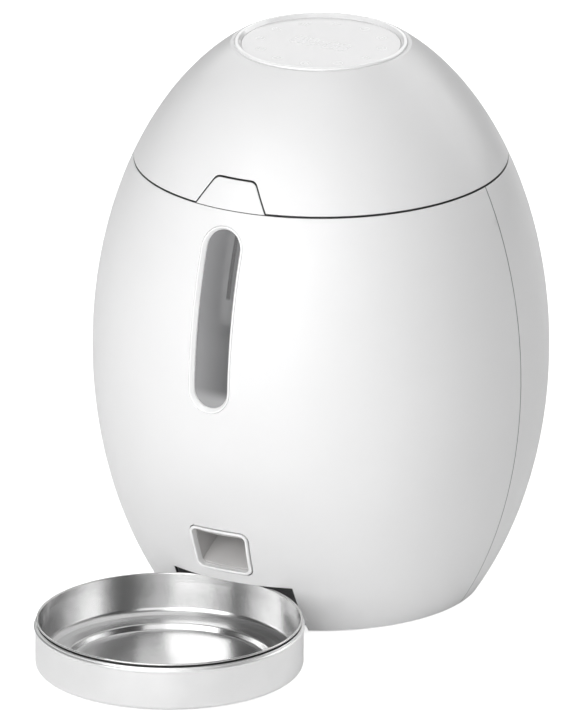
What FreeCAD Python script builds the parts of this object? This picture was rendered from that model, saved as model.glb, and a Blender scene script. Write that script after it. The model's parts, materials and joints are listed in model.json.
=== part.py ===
"""Automatic pet feeder: an egg-shaped food bin that doses dry food into a docked steel bowl.

Millimetres, +Z up. The origin is on the floor, in the middle of the feeder's length. The front is -Y.
Most shapes are drawn round the egg's own axis and moved to EGG_Y when they are written.
"""
import FreeCAD, Part
import math
import os

os.makedirs("parts", exist_ok=True)

# Egg: an ellipsoid of revolution, cut flat at its base and its top
EGG_Y = 60.25
EGG_RADIUS = 130.0
EGG_HALF_HEIGHT = 197.0
EGG_CENTRE_Z = 141.4
BASE_Z = 1.0
SEAM_Z = 254.4
SEAM_GAP = 1.1
BODY_TOP_Z = SEAM_Z - SEAM_GAP / 2
LID_LOW_Z = SEAM_Z + SEAM_GAP / 2
TOP_Z = 322.3
WALL = 2.6
PARTING_GAP = 0.3
EDGE_ROUND = 0.4
LID_EDGE_ROUND = 0.25

# Food level window
WINDOW_HALF_WIDTH = 13.2
WINDOW_LOW_Z = 139.7
WINDOW_HIGH_Z = 245.8
BEVEL_WIDTH = 2.6
LENS_INSET = 3.3
LENS_THICKNESS = 1.8

# Food outlet and its chute
OUTLET_HALF_WIDTH = 19.4
OUTLET_LOW_Z = 38.4
OUTLET_HIGH_Z = 67.0
OUTLET_CORNER = 5.0
BEZEL_WIDTH = 2.2
BEZEL_PROUD = 1.0
BEZEL_GAP = 0.5
CHUTE_HALF_WIDTH = 16.6
CHUTE_WALL = 1.6
CHUTE_BACK_Y = -25.0
CHUTE_ROOF_BACK_Y = -47.0
CHUTE_END_Y = -125.0
CHUTE_FLOOR_Z = (84.0, 33.0)
CHUTE_ROOF_END_Z = 58.0

# Bowl and its dock
BOWL_Y = -174.0
BOWL_RADIUS = 75.8
BOWL_BEAD_RADIUS = 76.5
BOWL_HEIGHT = 31.0
BOWL_FOOT_Z = 2.7
DOCK_HALF_WIDTH = 38.5
DOCK_HIGH_Z = 32.2
DOCK_BACK_Y = -76.0
DOCK_WALL = 2.0

# Lid, its panel and its hinge
PANEL_RING_RADIUS = 48.8
PANEL_RADIUS = 45.4
PANEL_SEAT_DEPTH = 4.6
LINER_Z = 258.0
LINER_THICKNESS = 2.0
LINER_TOP_Z = LINER_Z + LINER_THICKNESS
LID_SCREW_ANGLES = (45.0, -45.0, 135.0, -135.0)
LID_SCREW_CIRCLE = 87.0
PANEL_BOARD_TOP_Z = TOP_Z - 14.05
PANEL_BOARD_SCREW_CIRCLE = 46.0
SMALL_SCREW_RADIUS = 1.2
HINGE_Y = 104.5
HINGE_RADIUS = 4.2
HINGE_PIN_RADIUS = 2.0
HINGE_LUG_HALF_WIDTH = 13.5
HINGE_EAR_OUTER = 20.0

# Release button
TAB_BOTTOM_HALF = 22.0
TAB_TOP_HALF = 12.3
TAB_TOP_Z = 269.8
TAB_CORNER = 5.2
TAB_GAP = 1.0
KEEL_Y = (-95.0, -92.0)
SPRING_END_Y = -85.6
HOOK_NOSE_Y = -89.3
HOOK_BACK_Y = -85.2
CATCH_FRONT_Y = -91.6
CATCH_BACK_Y = -89.6

# Food bin and dosing chamber
BIN_INSET = 10.5
BIN_WALL = 2.0
BIN_MOUTH_RADIUS = 82.0
DECK_Z = 246.0
DECK_THICKNESS = 2.0
BRACKET_Z = (DECK_Z + DECK_THICKNESS, BODY_TOP_Z)
FUNNEL_TOP_Z = 170.0
CHAMBER_RADIUS = 47.0
CHAMBER_WALL = 2.0
CHAMBER_FLOOR_Z = 88.0
CHAMBER_TOP_Z = 118.0
DROP_HALF_WIDTH = 16.5
DROP_BACK_Y = -25.2

# Rotor
ROTOR_RADIUS = 43.5
ROTOR_LOW_Z = 91.0
ROTOR_HIGH_Z = 112.0
ROTOR_HUB_RADIUS = 10.0
SHAFT_RADIUS = 4.0
VANES = 6
VANE_THICKNESS = 2.4
AGITATOR_RADIUS = 8.5
FINGER_RADIUS = 2.4

# Gear train: involute teeth on a 25 degree pressure angle
PRESSURE_ANGLE = math.radians(25.0)
BACKLASH = 0.16
PINION_TEETH = 12
IDLER_TEETH = 36
IDLER_PINION_TEETH = 12
OUTPUT_TEETH = 40
FINE_MODULE = 0.8
COARSE_MODULE = 1.0
FINE_GEARS_Z = 69.0
FINE_GEARS_HEIGHT = 5.0
COARSE_GEARS_Z = 75.5
COARSE_GEARS_HEIGHT = 7.0
IDLER_DIRECTION = math.radians(45.0)
MOTOR_DIRECTION = math.radians(135.0)
CASE_LOW_Z = 66.0
CASE_TOP_Z = 84.0
COVER_TOP_Z = 86.0
CASE_X = (-25.0, 37.0)
CASE_Y = (-22.6, 42.0)
AXLE_RADIUS = 1.5
MOTOR_RADIUS = 12.0
MOTOR_HEIGHT = 22.0
RUNNING_CLEARANCE = 0.05

# Base, battery box and feet
BASE_RADIUS = 87.8
BASE_THICKNESS = 2.6
FOOT_RADIUS = 6.0
FOOT_CIRCLE = 81.5
FOOT_ANGLES = (37.0, -37.0, 75.0, -75.0, 155.0, -155.0)
BASE_SCREW_ANGLES = (50.0, -50.0, 122.0, -122.0)
BASE_SCREW_CIRCLE = 79.0
SCREW_RADIUS = 1.5
SCREW_HEAD_RADIUS = 3.1
SCREW_HEAD_HEIGHT = 1.4
SCREW_SINK = 1.6
SCREW_SINK_RADIUS = 3.4
CELL_RADIUS = 16.7
CELL_LENGTH = 61.5
CELL_SPACING = 34.0
CELL_Z = 22.3
CELL_START_Y = 3.4
CELL_TIP = 2.0
BATTERY_BOX_HALF_WIDTH = 51.0
BATTERY_BOX_Y = (0.0, 68.0)
BATTERY_BOX_TOP_Z = 39.5
BATTERY_BOX_WALL = 2.0
JACK_Z = 30.0
JACK_FACE_Y = 107.5
JACK_COLLAR_RADIUS = 6.0
JACK_BORE_RADIUS = 2.85
JACK_BORE_LENGTH = 2.0
BOARD_Y = 98.0
BOARD_THICKNESS = 1.6


def vector(x, y, z):
    return FreeCAD.Vector(x, y, z)


def box(x_range, y_range, z_range):
    """Box between two limits along each axis."""
    size = [high - low for low, high in (x_range, y_range, z_range)]
    return Part.makeBox(size[0], size[1], size[2], vector(x_range[0], y_range[0], z_range[0]))


def cylinder(radius, z_low, z_high, x=0.0, y=0.0):
    """Upright cylinder."""
    return Part.makeCylinder(radius, z_high - z_low, vector(x, y, z_low))


def cylinder_y(radius, y_low, y_high, x, z):
    """Cylinder along Y."""
    return Part.makeCylinder(radius, y_high - y_low, vector(x, y_low, z), vector(0, 1, 0))


def cylinder_x(radius, x_low, x_high, y, z):
    """Cylinder along X."""
    return Part.makeCylinder(radius, x_high - x_low, vector(x_low, y, z), vector(1, 0, 0))


def tube(outer, inner, z_low, z_high, x=0.0, y=0.0):
    """Upright tube."""
    return cylinder(outer, z_low, z_high, x, y).cut(cylinder(inner, z_low - 1, z_high + 1, x, y))


def fused(shapes):
    """One solid from several that touch or overlap."""
    shapes = list(shapes)
    whole = shapes[0].fuse(shapes[1:]) if len(shapes) > 1 else shapes[0]
    return whole.removeSplitter()


def compound(shapes):
    """A group of separate solids."""
    return Part.makeCompound(list(shapes))


def polar(radius, degrees_from_front):
    """X and Y at a radius and an angle from the front, towards +X."""
    angle = math.radians(degrees_from_front)
    return radius * math.sin(angle), -radius * math.cos(angle)


def polygon_face(points):
    """Plane face with straight sides."""
    return Part.Face(Part.makePolygon([vector(*p) for p in points + points[:1]]))


def side_prism(points, half_width):
    """Prism across X from a side outline of (y, z) points."""
    face = polygon_face([(-half_width, y, z) for y, z in points])
    return face.extrude(vector(2 * half_width, 0, 0))


def revolved(points):
    """Solid turned round the axis from an outline of (r, z) points."""
    return polygon_face([(r, 0, z) for r, z in points]).revolve(vector(0, 0, 0), vector(0, 0, 1), 360)


# The egg

def egg_radius(z, inset=0.0):
    """Radius of the egg at a height, inset being how far inside its surface."""
    rise = (z - EGG_CENTRE_Z) / (EGG_HALF_HEIGHT - inset)
    return (EGG_RADIUS - inset) * math.sqrt(1 - rise * rise)


def egg_arc(z_low, z_high, inset):
    """The egg's outline between two heights, as an arc of an ellipse."""
    half_height = EGG_HALF_HEIGHT - inset
    top = vector(0, 0, EGG_CENTRE_Z + half_height)
    side = vector(EGG_RADIUS - inset, 0, EGG_CENTRE_Z)
    ellipse = Part.Ellipse(top, side, vector(0, 0, EGG_CENTRE_Z))
    start = math.acos((z_high - EGG_CENTRE_Z) / half_height)
    end = math.acos((z_low - EGG_CENTRE_Z) / half_height)
    return Part.ArcOfEllipse(ellipse, start, end).toShape()


def line(start, end):
    return Part.makeLine(vector(*start), vector(*end))


def egg_body(z_low, z_high, inset=0.0):
    """Everything inside the egg's surface between two heights."""
    low, high = egg_radius(z_low, inset), egg_radius(z_high, inset)
    edges = [
        egg_arc(z_low, z_high, inset),
        line((low, 0, z_low), (0, 0, z_low)),
        line((0, 0, z_low), (0, 0, z_high)),
        line((0, 0, z_high), (high, 0, z_high)),
    ]
    face = Part.Face(Part.Wire(Part.__sortEdges__(edges)))
    return face.revolve(vector(0, 0, 0), vector(0, 0, 1), 360)


def egg_shell(z_low, z_high, outer_inset=0.0, inner_inset=WALL):
    """A skin of the egg between two heights."""
    edges = [
        egg_arc(z_low, z_high, outer_inset),
        egg_arc(z_low, z_high, inner_inset),
        line((egg_radius(z_low, outer_inset), 0, z_low), (egg_radius(z_low, inner_inset), 0, z_low)),
        line((egg_radius(z_high, outer_inset), 0, z_high), (egg_radius(z_high, inner_inset), 0, z_high)),
    ]
    face = Part.Face(Part.Wire(Part.__sortEdges__(edges)))
    return face.revolve(vector(0, 0, 0), vector(0, 0, 1), 360)


def lies_outside(edge):
    """True for an edge that runs along the egg's outer surface."""
    span = edge.LastParameter - edge.FirstParameter
    for share in (0.1, 0.5, 0.9):
        point = edge.valueAt(edge.FirstParameter + share * span)
        level = (math.hypot(point.x, point.y) / EGG_RADIUS) ** 2
        level += ((point.z - EGG_CENTRE_Z) / EGG_HALF_HEIGHT) ** 2
        if abs(level - 1) > 0.0003:
            return False
    return edge.Length > 0.5


def softened(shell, radius=EDGE_ROUND):
    """The shell with its outer edges rounded, but for the parting line and what reaches the foot."""
    edges = [e for e in shell.Edges if lies_outside(e)]
    edges = [e for e in edges if abs(e.CenterOfMass.y) > 1 and e.BoundBox.ZMin > BASE_Z + 0.5]
    return shell.makeFillet(radius, edges)


# Front openings, as prisms along Y that reach from the axis out to the front

def front_prism(wire):
    """Prism from an outline drawn in the XZ plane, running out to the front."""
    return Part.Face(wire).extrude(vector(0, -(EGG_RADIUS + 10), 0))


def stadium(half_width, z_low, z_high):
    """Upright slot with round ends."""
    low, high = z_low + half_width, z_high - half_width
    edges = [
        line((-half_width, 0, low), (-half_width, 0, high)),
        Part.Arc(vector(-half_width, 0, high), vector(0, 0, z_high), vector(half_width, 0, high)).toShape(),
        line((half_width, 0, high), (half_width, 0, low)),
        Part.Arc(vector(half_width, 0, low), vector(0, 0, z_low), vector(-half_width, 0, low)).toShape(),
    ]
    return front_prism(Part.Wire(edges))


def window_prism(inset):
    """The window's slot, drawn in by an inset."""
    return stadium(WINDOW_HALF_WIDTH - inset, WINDOW_LOW_Z + inset, WINDOW_HIGH_Z - inset)


def outline_xz(corners):
    """Closed outline of straight sides through (x, z) corners."""
    return Part.makePolygon([vector(x, 0, z) for x, z in corners + corners[:1]])


def edges_along_y(solid):
    return [e for e in solid.Edges if abs(abs(e.tangentAt(e.FirstParameter).y) - 1) < 1e-6]


def outlet_prism(inset):
    """The food outlet, a little narrower at its foot, drawn in by an inset."""
    taper = 1.2
    low, high = OUTLET_LOW_Z + inset, OUTLET_HIGH_Z - inset
    wide = OUTLET_HALF_WIDTH - inset
    corners = [(-wide + taper, low), (wide - taper, low), (wide, high), (-wide, high)]
    solid = front_prism(outline_xz(corners))
    return solid.makeFillet(OUTLET_CORNER - 0.8 * inset, edges_along_y(solid))


def tab_prism(grow):
    """The release button's outline, grown by a gap; it is open at its foot."""
    low = SEAM_Z - SEAM_GAP / 2 - 6
    slope = (TAB_BOTTOM_HALF - TAB_TOP_HALF) / (TAB_TOP_Z - SEAM_Z)
    foot = TAB_BOTTOM_HALF + grow + slope * (SEAM_Z - low)
    high = TAB_TOP_Z + grow
    head = TAB_TOP_HALF + grow - slope * grow
    corners = [(-foot, low), (foot, low), (head, high), (-head, high)]
    solid = front_prism(outline_xz(corners))
    top_edges = [e for e in edges_along_y(solid) if e.CenterOfMass.z > high - 1]
    return solid.makeFillet(TAB_CORNER, top_edges)


def front_half():
    return box((-200, 200), (-200, -PARTING_GAP / 2), (-10, 400))


def rear_half():
    return box((-200, 200), (PARTING_GAP / 2, 200), (-10, 400))


def hinge_recess():
    """Room round the hinge line, cut from both shells."""
    return cylinder_x(HINGE_RADIUS + 0.5, -HINGE_EAR_OUTER - 0.4, HINGE_EAR_OUTER + 0.4, HINGE_Y, SEAM_Z)


# Housing shells

def base_boss(degrees):
    """Screw boss on a rib from the shell wall, over the base plate."""
    x, y = polar(BASE_SCREW_CIRCLE, degrees)
    z_low, z_high = BASE_Z + BASE_THICKNESS + 0.2, 22.0
    rib = box((-1.2, 1.2), (-EGG_RADIUS, -BASE_SCREW_CIRCLE), (z_low, z_high))
    rib.rotate(vector(0, 0, 0), vector(0, 0, 1), degrees)
    boss = cylinder(4.2, z_low, z_high, x, y).fuse(rib)
    hole = cylinder(SCREW_RADIUS, z_low - 1, z_high - 6, x, y)
    return boss.common(egg_body(BASE_Z, 60, 1.0)).cut(hole)


def front_shell():
    shell = egg_shell(BASE_Z, BODY_TOP_Z).common(front_half())
    shell = shell.fuse([base_boss(a) for a in BASE_SCREW_ANGLES if abs(a) < 90])
    dock = box((-DOCK_HALF_WIDTH, DOCK_HALF_WIDTH), (-EGG_RADIUS, DOCK_BACK_Y), (0, DOCK_HIGH_Z))
    return softened(shell.cut([window_prism(0), outlet_prism(0), dock]).removeSplitter())


def rear_shell():
    shell = egg_shell(BASE_Z, BODY_TOP_Z).common(rear_half()).cut(hinge_recess())
    shell = shell.fuse([base_boss(a) for a in BASE_SCREW_ANGLES if abs(a) > 90])
    ears = []
    for side in (-1, 1):
        inner, outer = sorted((side * (HINGE_LUG_HALF_WIDTH + 0.4), side * HINGE_EAR_OUTER))
        web = box((inner, outer), (HINGE_Y - 3, EGG_RADIUS), (SEAM_Z - 11, BODY_TOP_Z))
        web = web.common(egg_body(SEAM_Z - 15, SEAM_Z + 2, 0.5))
        ears.append(fused([cylinder_x(HINGE_RADIUS, inner, outer, HINGE_Y, SEAM_Z), web]))
    posts = [
        cylinder_y(3.0, BOARD_Y + BOARD_THICKNESS, EGG_RADIUS, x, z).common(egg_body(20, 200, 1.0))
        for x, z in board_holes()
    ]
    post_holes = [cylinder_y(1.2, BOARD_Y - 1, BOARD_Y + 10, x, z) for x, z in board_holes()]
    pin_hole = cylinder_x(HINGE_PIN_RADIUS, -HINGE_EAR_OUTER - 1, HINGE_EAR_OUTER + 1, HINGE_Y, SEAM_Z)
    jack_hole = cylinder_y(JACK_COLLAR_RADIUS + 0.1, BOARD_Y, EGG_RADIUS, 0, JACK_Z)
    return softened(shell.fuse(ears + posts).cut([pin_hole, jack_hole] + post_holes).removeSplitter())


def window_frame():
    """Frame in the window slot whose inner edge steps down as a bevel."""
    outer = window_prism(0.1)
    frame = egg_shell(WINDOW_LOW_Z - 1, WINDOW_HIGH_Z + 1, 0.0, LENS_INSET - 0.1)
    frame = frame.common(outer).cut(window_prism(BEVEL_WIDTH))
    return frame


def window_lens():
    lens = egg_shell(WINDOW_LOW_Z - 1, WINDOW_HIGH_Z + 1, LENS_INSET, LENS_INSET + LENS_THICKNESS)
    return lens.common(window_prism(0.6))


def outlet_bezel():
    """Rim round the outlet, standing proud of the shell."""
    rim = egg_shell(OUTLET_LOW_Z - 4, OUTLET_HIGH_Z + 4, -BEZEL_PROUD, WALL + 1.0)
    return rim.common(outlet_prism(BEZEL_GAP)).cut(outlet_prism(BEZEL_WIDTH))


def outlet_chute():
    """Sloping channel from the drop opening to the outlet, open above and in front."""
    top = CHAMBER_FLOOR_Z - 0.2
    inner = [
        (CHUTE_BACK_Y, top + 5),
        (CHUTE_BACK_Y, CHUTE_FLOOR_Z[0]),
        (CHUTE_END_Y, CHUTE_FLOOR_Z[1]),
        (CHUTE_END_Y, CHUTE_ROOF_END_Z),
        (CHUTE_ROOF_BACK_Y, top),
        (CHUTE_ROOF_BACK_Y, top + 5),
    ]
    outer = [
        (CHUTE_BACK_Y + 1.7, top),
        (CHUTE_BACK_Y + 1.7, CHUTE_FLOOR_Z[0] - 1.1),
        (CHUTE_END_Y, CHUTE_FLOOR_Z[1] - 2.0),
        (CHUTE_END_Y, CHUTE_ROOF_END_Z + 1.9),
        (CHUTE_ROOF_BACK_Y - 2.0, top),
    ]
    channel = side_prism(outer, CHUTE_HALF_WIDTH + CHUTE_WALL).cut(side_prism(inner, CHUTE_HALF_WIDTH))
    above_dock = box((-30, 30), (-EGG_RADIUS, 0), (DOCK_HIGH_Z + DOCK_WALL + 0.2, CHAMBER_TOP_Z))
    return channel.common(egg_body(BASE_Z, CHAMBER_TOP_Z, WALL + 1.2)).common(above_dock)


def bowl_dock():
    """Dark-sided pocket behind the recess, closed above and behind, open to the floor."""
    inner, wall = DOCK_HALF_WIDTH, DOCK_WALL
    outer = inner + wall
    outside = box((-outer, outer), (-EGG_RADIUS, DOCK_BACK_Y + wall), (BASE_Z, DOCK_HIGH_Z + wall))
    inside = box((-inner, inner), (-EGG_RADIUS - 1, DOCK_BACK_Y), (0, DOCK_HIGH_Z))
    return outside.cut(inside).common(egg_body(BASE_Z, 60, WALL + 0.2))


# Base

def battery_door_outline(gap):
    return box(
        (-BATTERY_BOX_HALF_WIDTH + 4 - gap, BATTERY_BOX_HALF_WIDTH - 4 + gap),
        (BATTERY_BOX_Y[0] + 2 - gap, BATTERY_BOX_Y[1] - 2 + gap),
        (BASE_Z, BASE_Z + BASE_THICKNESS),
    )


def door_screw_place():
    return CELL_SPACING / 2, BATTERY_BOX_Y[0] + 7.0


def base_plate():
    plate = cylinder(BASE_RADIUS, BASE_Z, BASE_Z + BASE_THICKNESS)
    wide, wall = BATTERY_BOX_HALF_WIDTH, BATTERY_BOX_WALL
    near, far = BATTERY_BOX_Y
    outside = box((-wide - wall, wide + wall), (near - wall, far + wall), (BASE_Z, BATTERY_BOX_TOP_Z + wall))
    inside = box((-wide, wide), (near, far), (BASE_Z + BASE_THICKNESS, BATTERY_BOX_TOP_Z))
    dock = box(
        (-DOCK_HALF_WIDTH - DOCK_WALL - 0.3, DOCK_HALF_WIDTH + DOCK_WALL + 0.3),
        (-EGG_RADIUS, DOCK_BACK_Y + DOCK_WALL + 0.3),
        (0, 60),
    )
    screw_x, screw_y = door_screw_place()
    lug = box((screw_x - 2.8, screw_x + 2.8), (near - 0.5, near + 11), (BASE_Z + BASE_THICKNESS + 0.2, 12.8))
    plate = fused([plate, outside]).cut([inside, battery_door_outline(0.4), dock])
    plate = plate.fuse(lug)
    cutters = [cylinder(SCREW_RADIUS, 0, 12, screw_x, screw_y)]
    for angle in FOOT_ANGLES:
        x, y = polar(FOOT_CIRCLE, angle)
        cutters.append(cylinder(FOOT_RADIUS + 0.1, BASE_Z - 1, BASE_Z + 1.5, x, y))
    for angle in BASE_SCREW_ANGLES:
        x, y = polar(BASE_SCREW_CIRCLE, angle)
        cutters.append(cylinder(SCREW_RADIUS + 0.3, 0, 10, x, y))
        cutters.append(cylinder(SCREW_SINK_RADIUS, BASE_Z - 1, BASE_Z + SCREW_SINK, x, y))
    return plate.cut(cutters).removeSplitter()


def rubber_feet():
    feet = []
    for angle in FOOT_ANGLES:
        x, y = polar(FOOT_CIRCLE, angle)
        foot = cylinder(FOOT_RADIUS, 0, BASE_Z + 1.4, x, y)
        rim = [e for e in foot.Edges if e.BoundBox.ZMax < 0.01 and e.Closed]
        feet.append(foot.makeFillet(0.6, rim))
    return compound(feet)


def screw(head_radius, head_height, shank_radius, length):
    """Round-head screw pointing up, its head's underside at z = 0, with a cross recess."""
    head = Part.makeCylinder(head_radius, head_height, vector(0, 0, -head_height))
    shank = Part.makeCylinder(shank_radius, length)
    long_way, short_way = (-0.65 * head_radius, 0.65 * head_radius), (-0.3, 0.3)
    depth = (-head_height, -0.4 * head_height)
    slots = [box(long_way, short_way, depth), box(short_way, long_way, depth)]
    return head.fuse(shank).cut(slots).removeSplitter()


def moved(shape, x, y, z):
    copy = shape.copy()
    copy.translate(vector(x, y, z))
    return copy


def base_screws():
    one = screw(SCREW_HEAD_RADIUS, SCREW_HEAD_HEIGHT, SCREW_RADIUS, 12.0)
    return compound(moved(one, *polar(BASE_SCREW_CIRCLE, a), BASE_Z + SCREW_SINK) for a in BASE_SCREW_ANGLES)


def battery_door():
    """Door with two tabs that hook over the base plate at its far edge."""
    door = battery_door_outline(0.0)
    far = BATTERY_BOX_Y[1]
    tab_half, tab_top = 5.0, BASE_Z + 4.4
    for tab_x in (-30.0, 30.0):
        width = (tab_x - tab_half, tab_x + tab_half)
        tab = box(width, (far - 3, far - 0.3), (BASE_Z + BASE_THICKNESS + 0.2, tab_top))
        riser = box(width, (far - 3, far - 2), (BASE_Z + 2, tab_top))
        door = door.fuse([tab, riser])
    x, y = door_screw_place()
    clearance = cylinder(SCREW_RADIUS + 0.3, 0, 6, x, y)
    sink = cylinder(SCREW_SINK_RADIUS, 0, BASE_Z + SCREW_SINK, x, y)
    return door.cut([clearance, sink]).removeSplitter()


def door_screw():
    x, y = door_screw_place()
    return moved(screw(SCREW_HEAD_RADIUS, SCREW_HEAD_HEIGHT, SCREW_RADIUS, 8.0), x, y, BASE_Z + SCREW_SINK)


def battery_cells():
    cells = []
    for column in (-1, 0, 1):
        x = column * CELL_SPACING
        end = CELL_START_Y + CELL_LENGTH
        can = cylinder_y(CELL_RADIUS, CELL_START_Y, end - CELL_TIP, x, CELL_Z)
        tip = cylinder_y(4.6, end - CELL_TIP, end, x, CELL_Z)
        cells.append(can.fuse(tip).removeSplitter())
    return compound(cells)


def battery_contacts():
    """A spring plate at one end of each cell and a flat plate at the other."""
    contacts = []
    for column in (-1, 0, 1):
        x = column * CELL_SPACING
        plate = box((x - 6, x + 6), (0.2, 0.7), (CELL_Z - 6, CELL_Z + 8))
        coil = cylinder_y(4.5, 0.7, 3.3, x, CELL_Z).cut(cylinder_y(3.7, 0.9, 4, x, CELL_Z))
        contacts.append(plate.fuse(coil).removeSplitter())
        contacts.append(box((x - 6, x + 6), (65.2, 67.8), (CELL_Z - 6, CELL_Z + 8)))
    return compound(contacts)


def board_holes():
    return [(x, z) for x in (-28.0, 28.0) for z in (57.0, 97.0)]


def main_board():
    """Control board with its chips, relay and plugs, facing the mechanism."""
    face_y = BOARD_Y
    board = box((-33, 33), (face_y, face_y + BOARD_THICKNESS), (52, 102))
    chips = [
        box((-14, -2), (face_y - 1.6, face_y), (74, 86)),
        box((4, 10), (face_y - 1.4, face_y), (76, 81)),
        box((-20, -8), (face_y - 7, face_y), (60, 66)),
        box((2, 20), (face_y - 8, face_y), (60, 66)),
        cylinder_y(4.0, face_y - 11, face_y, 18, 90),
        cylinder_y(3.0, face_y - 8, face_y, 8, 92),
        box((-19, -15), (face_y - 3, face_y), (90, 95)),
    ]
    holes = [cylinder_y(1.4, face_y - 1, face_y + 3, x, z) for x, z in board_holes()]
    return fused([board] + chips).cut(holes)


def screw_to_rear(shape, x, y, z):
    """Turn an upright screw to point to the rear and place it."""
    copy = shape.copy()
    copy.rotate(vector(0, 0, 0), vector(1, 0, 0), -90)
    copy.translate(vector(x, y, z))
    return copy


def board_screws():
    one = screw(2.4, SCREW_HEAD_HEIGHT, SMALL_SCREW_RADIUS, 8.0)
    return compound(screw_to_rear(one, x, BOARD_Y, z) for x, z in board_holes())


def dc_jack():
    """Barrel jack: a short guiding collar, then a wider cavity round the contact pin."""
    face, back = JACK_FACE_Y, JACK_FACE_Y - 19.5
    half = 6.5
    collar = cylinder_y(JACK_COLLAR_RADIUS, back + 8, face, 0, JACK_Z)
    block = box((-half, half), (back, back + 10), (JACK_Z - half, JACK_Z + half))
    bore = cylinder_y(JACK_BORE_RADIUS, face - JACK_BORE_LENGTH, face + 1, 0, JACK_Z)
    cavity = cylinder_y(JACK_BORE_RADIUS + 0.45, back + 6, face - JACK_BORE_LENGTH, 0, JACK_Z)
    pin = cylinder_y(1.0, back + 5, face - 3.5, 0, JACK_Z)
    legs = [box((x - 0.4, x + 0.4), (back - 3, back + 0.5), (JACK_Z - 1, JACK_Z + 1)) for x in (-3.5, 0, 3.5)]
    return collar.fuse(block).cut([bore, cavity]).fuse([pin] + legs).removeSplitter()


# Food bin and dosing

def hopper():
    """Bin: egg-shaped wall, a funnel below and a deck with a round mouth above."""
    top = egg_radius(FUNNEL_TOP_Z, BIN_INSET)
    inner_top = egg_radius(FUNNEL_TOP_Z, BIN_INSET + BIN_WALL)
    neck = CHAMBER_RADIUS
    low = CHAMBER_TOP_Z + 0.2
    funnel = revolved(
        [
            (neck, low),
            (neck + BIN_WALL, low),
            (neck + BIN_WALL, low + 3),
            (top, FUNNEL_TOP_Z),
            (inner_top, FUNNEL_TOP_Z),
            (neck, low + 3.5),
        ]
    )
    deck = egg_body(DECK_Z, DECK_Z + DECK_THICKNESS, WALL + 0.4)
    mouth = cylinder(BIN_MOUTH_RADIUS, DECK_Z - 1, DECK_Z + 5)
    hinge_reach = HINGE_EAR_OUTER + 1
    hinge_room = box((-hinge_reach, hinge_reach), (HINGE_Y - 10.5, EGG_RADIUS), (DECK_Z - 1, DECK_Z + 5))
    skin = egg_shell(FUNNEL_TOP_Z, DECK_Z, BIN_INSET, BIN_INSET + BIN_WALL)
    behind_lens = egg_body(WINDOW_LOW_Z - 20, WINDOW_HIGH_Z + 10, LENS_INSET + LENS_THICKNESS + 0.3)
    window_room = window_prism(-0.6).cut(behind_lens)
    return fused([skin, funnel, deck.cut([mouth, hinge_room])]).cut(window_room)


def drop_opening():
    """Opening in the chamber floor, over the chute."""
    z_low, z_high = CHAMBER_FLOOR_Z - 1, CHAMBER_FLOOR_Z + 5
    across = box((-DROP_HALF_WIDTH, DROP_HALF_WIDTH), (-CHAMBER_RADIUS, DROP_BACK_Y), (z_low, z_high))
    return across.common(cylinder(CHAMBER_RADIUS - 1, z_low, z_high))


def dosing_housing():
    floor_top = CHAMBER_FLOOR_Z + 2
    floor = cylinder(CHAMBER_RADIUS + CHAMBER_WALL, CHAMBER_FLOOR_Z, floor_top)
    wall = tube(CHAMBER_RADIUS + CHAMBER_WALL, CHAMBER_RADIUS, floor_top, CHAMBER_TOP_Z)
    collar = cylinder(8.0, COVER_TOP_Z + 0.2, CHAMBER_FLOOR_Z)
    bore = cylinder(SHAFT_RADIUS + RUNNING_CLEARANCE, 60, 120)
    return fused([floor, wall, collar]).cut([drop_opening(), bore])


def dosing_baffle():
    """Plate over the rotor's front third, so that food reaches the drop opening only in the pockets."""
    z_low, z_high = ROTOR_HIGH_Z + 1.2, ROTOR_HIGH_Z + 3.2
    plate = tube(CHAMBER_RADIUS - 0.1, 13.0, z_low, z_high)
    reach = 60.0
    corners = [(0, 0), (-reach, -1.1 * reach), (0, -2 * reach), (reach, -1.1 * reach)]
    wedge = polygon_face([(x, y, z_low - 1) for x, y in corners])
    return plate.common(wedge.extrude(vector(0, 0, 6)))


def vane(degrees, radius_low, radius_high, thickness, z_low, z_high):
    plate = box((-thickness / 2, thickness / 2), (-radius_high, -radius_low), (z_low, z_high))
    plate.rotate(vector(0, 0, 0), vector(0, 0, 1), degrees)
    return plate


def vane_angles():
    return [360.0 / VANES * (i + 0.5) for i in range(VANES)]


def portion_rotor():
    hub = cylinder(ROTOR_HUB_RADIUS, ROTOR_LOW_Z, ROTOR_HIGH_Z)
    vanes = [
        vane(a, ROTOR_HUB_RADIUS - 2, ROTOR_RADIUS, VANE_THICKNESS, ROTOR_LOW_Z, ROTOR_HIGH_Z)
        for a in vane_angles()
    ]
    return fused([hub] + vanes).cut(cylinder(SHAFT_RADIUS, 60, 140))


def rotor_wipers():
    gap = 0.6
    z_low, z_high = ROTOR_LOW_Z + 0.3, ROTOR_HIGH_Z - 0.3
    half = VANE_THICKNESS / 2
    return compound(vane(a, ROTOR_RADIUS, CHAMBER_RADIUS - gap, half, z_low, z_high) for a in vane_angles())


def agitator():
    """Domed cap on the shaft with two raised fingers that stir the funnel."""
    low = ROTOR_HIGH_Z
    dome_z = low + 14
    cap = cylinder(AGITATOR_RADIUS, low, dome_z).fuse(Part.makeSphere(AGITATOR_RADIUS, vector(0, 0, dome_z)))
    fingers = []
    for side in (-1, 1):
        bends = [vector(side * r, 0, low + rise) for r, rise in ((5.0, 10.0), (30.0, 22.0), (34.0, 36.0))]
        for start, end in zip(bends, bends[1:]):
            fingers.append(Part.makeCylinder(FINGER_RADIUS, (end - start).Length, start, end - start))
            fingers.append(Part.makeSphere(FINGER_RADIUS, end))
    return fused([cap] + fingers).cut(cylinder(SHAFT_RADIUS, low - 1, low + 8))


def rotor_shaft():
    return cylinder(SHAFT_RADIUS, FINE_GEARS_Z - 1.0, ROTOR_HIGH_Z + 7.8)


# Gears

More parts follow.
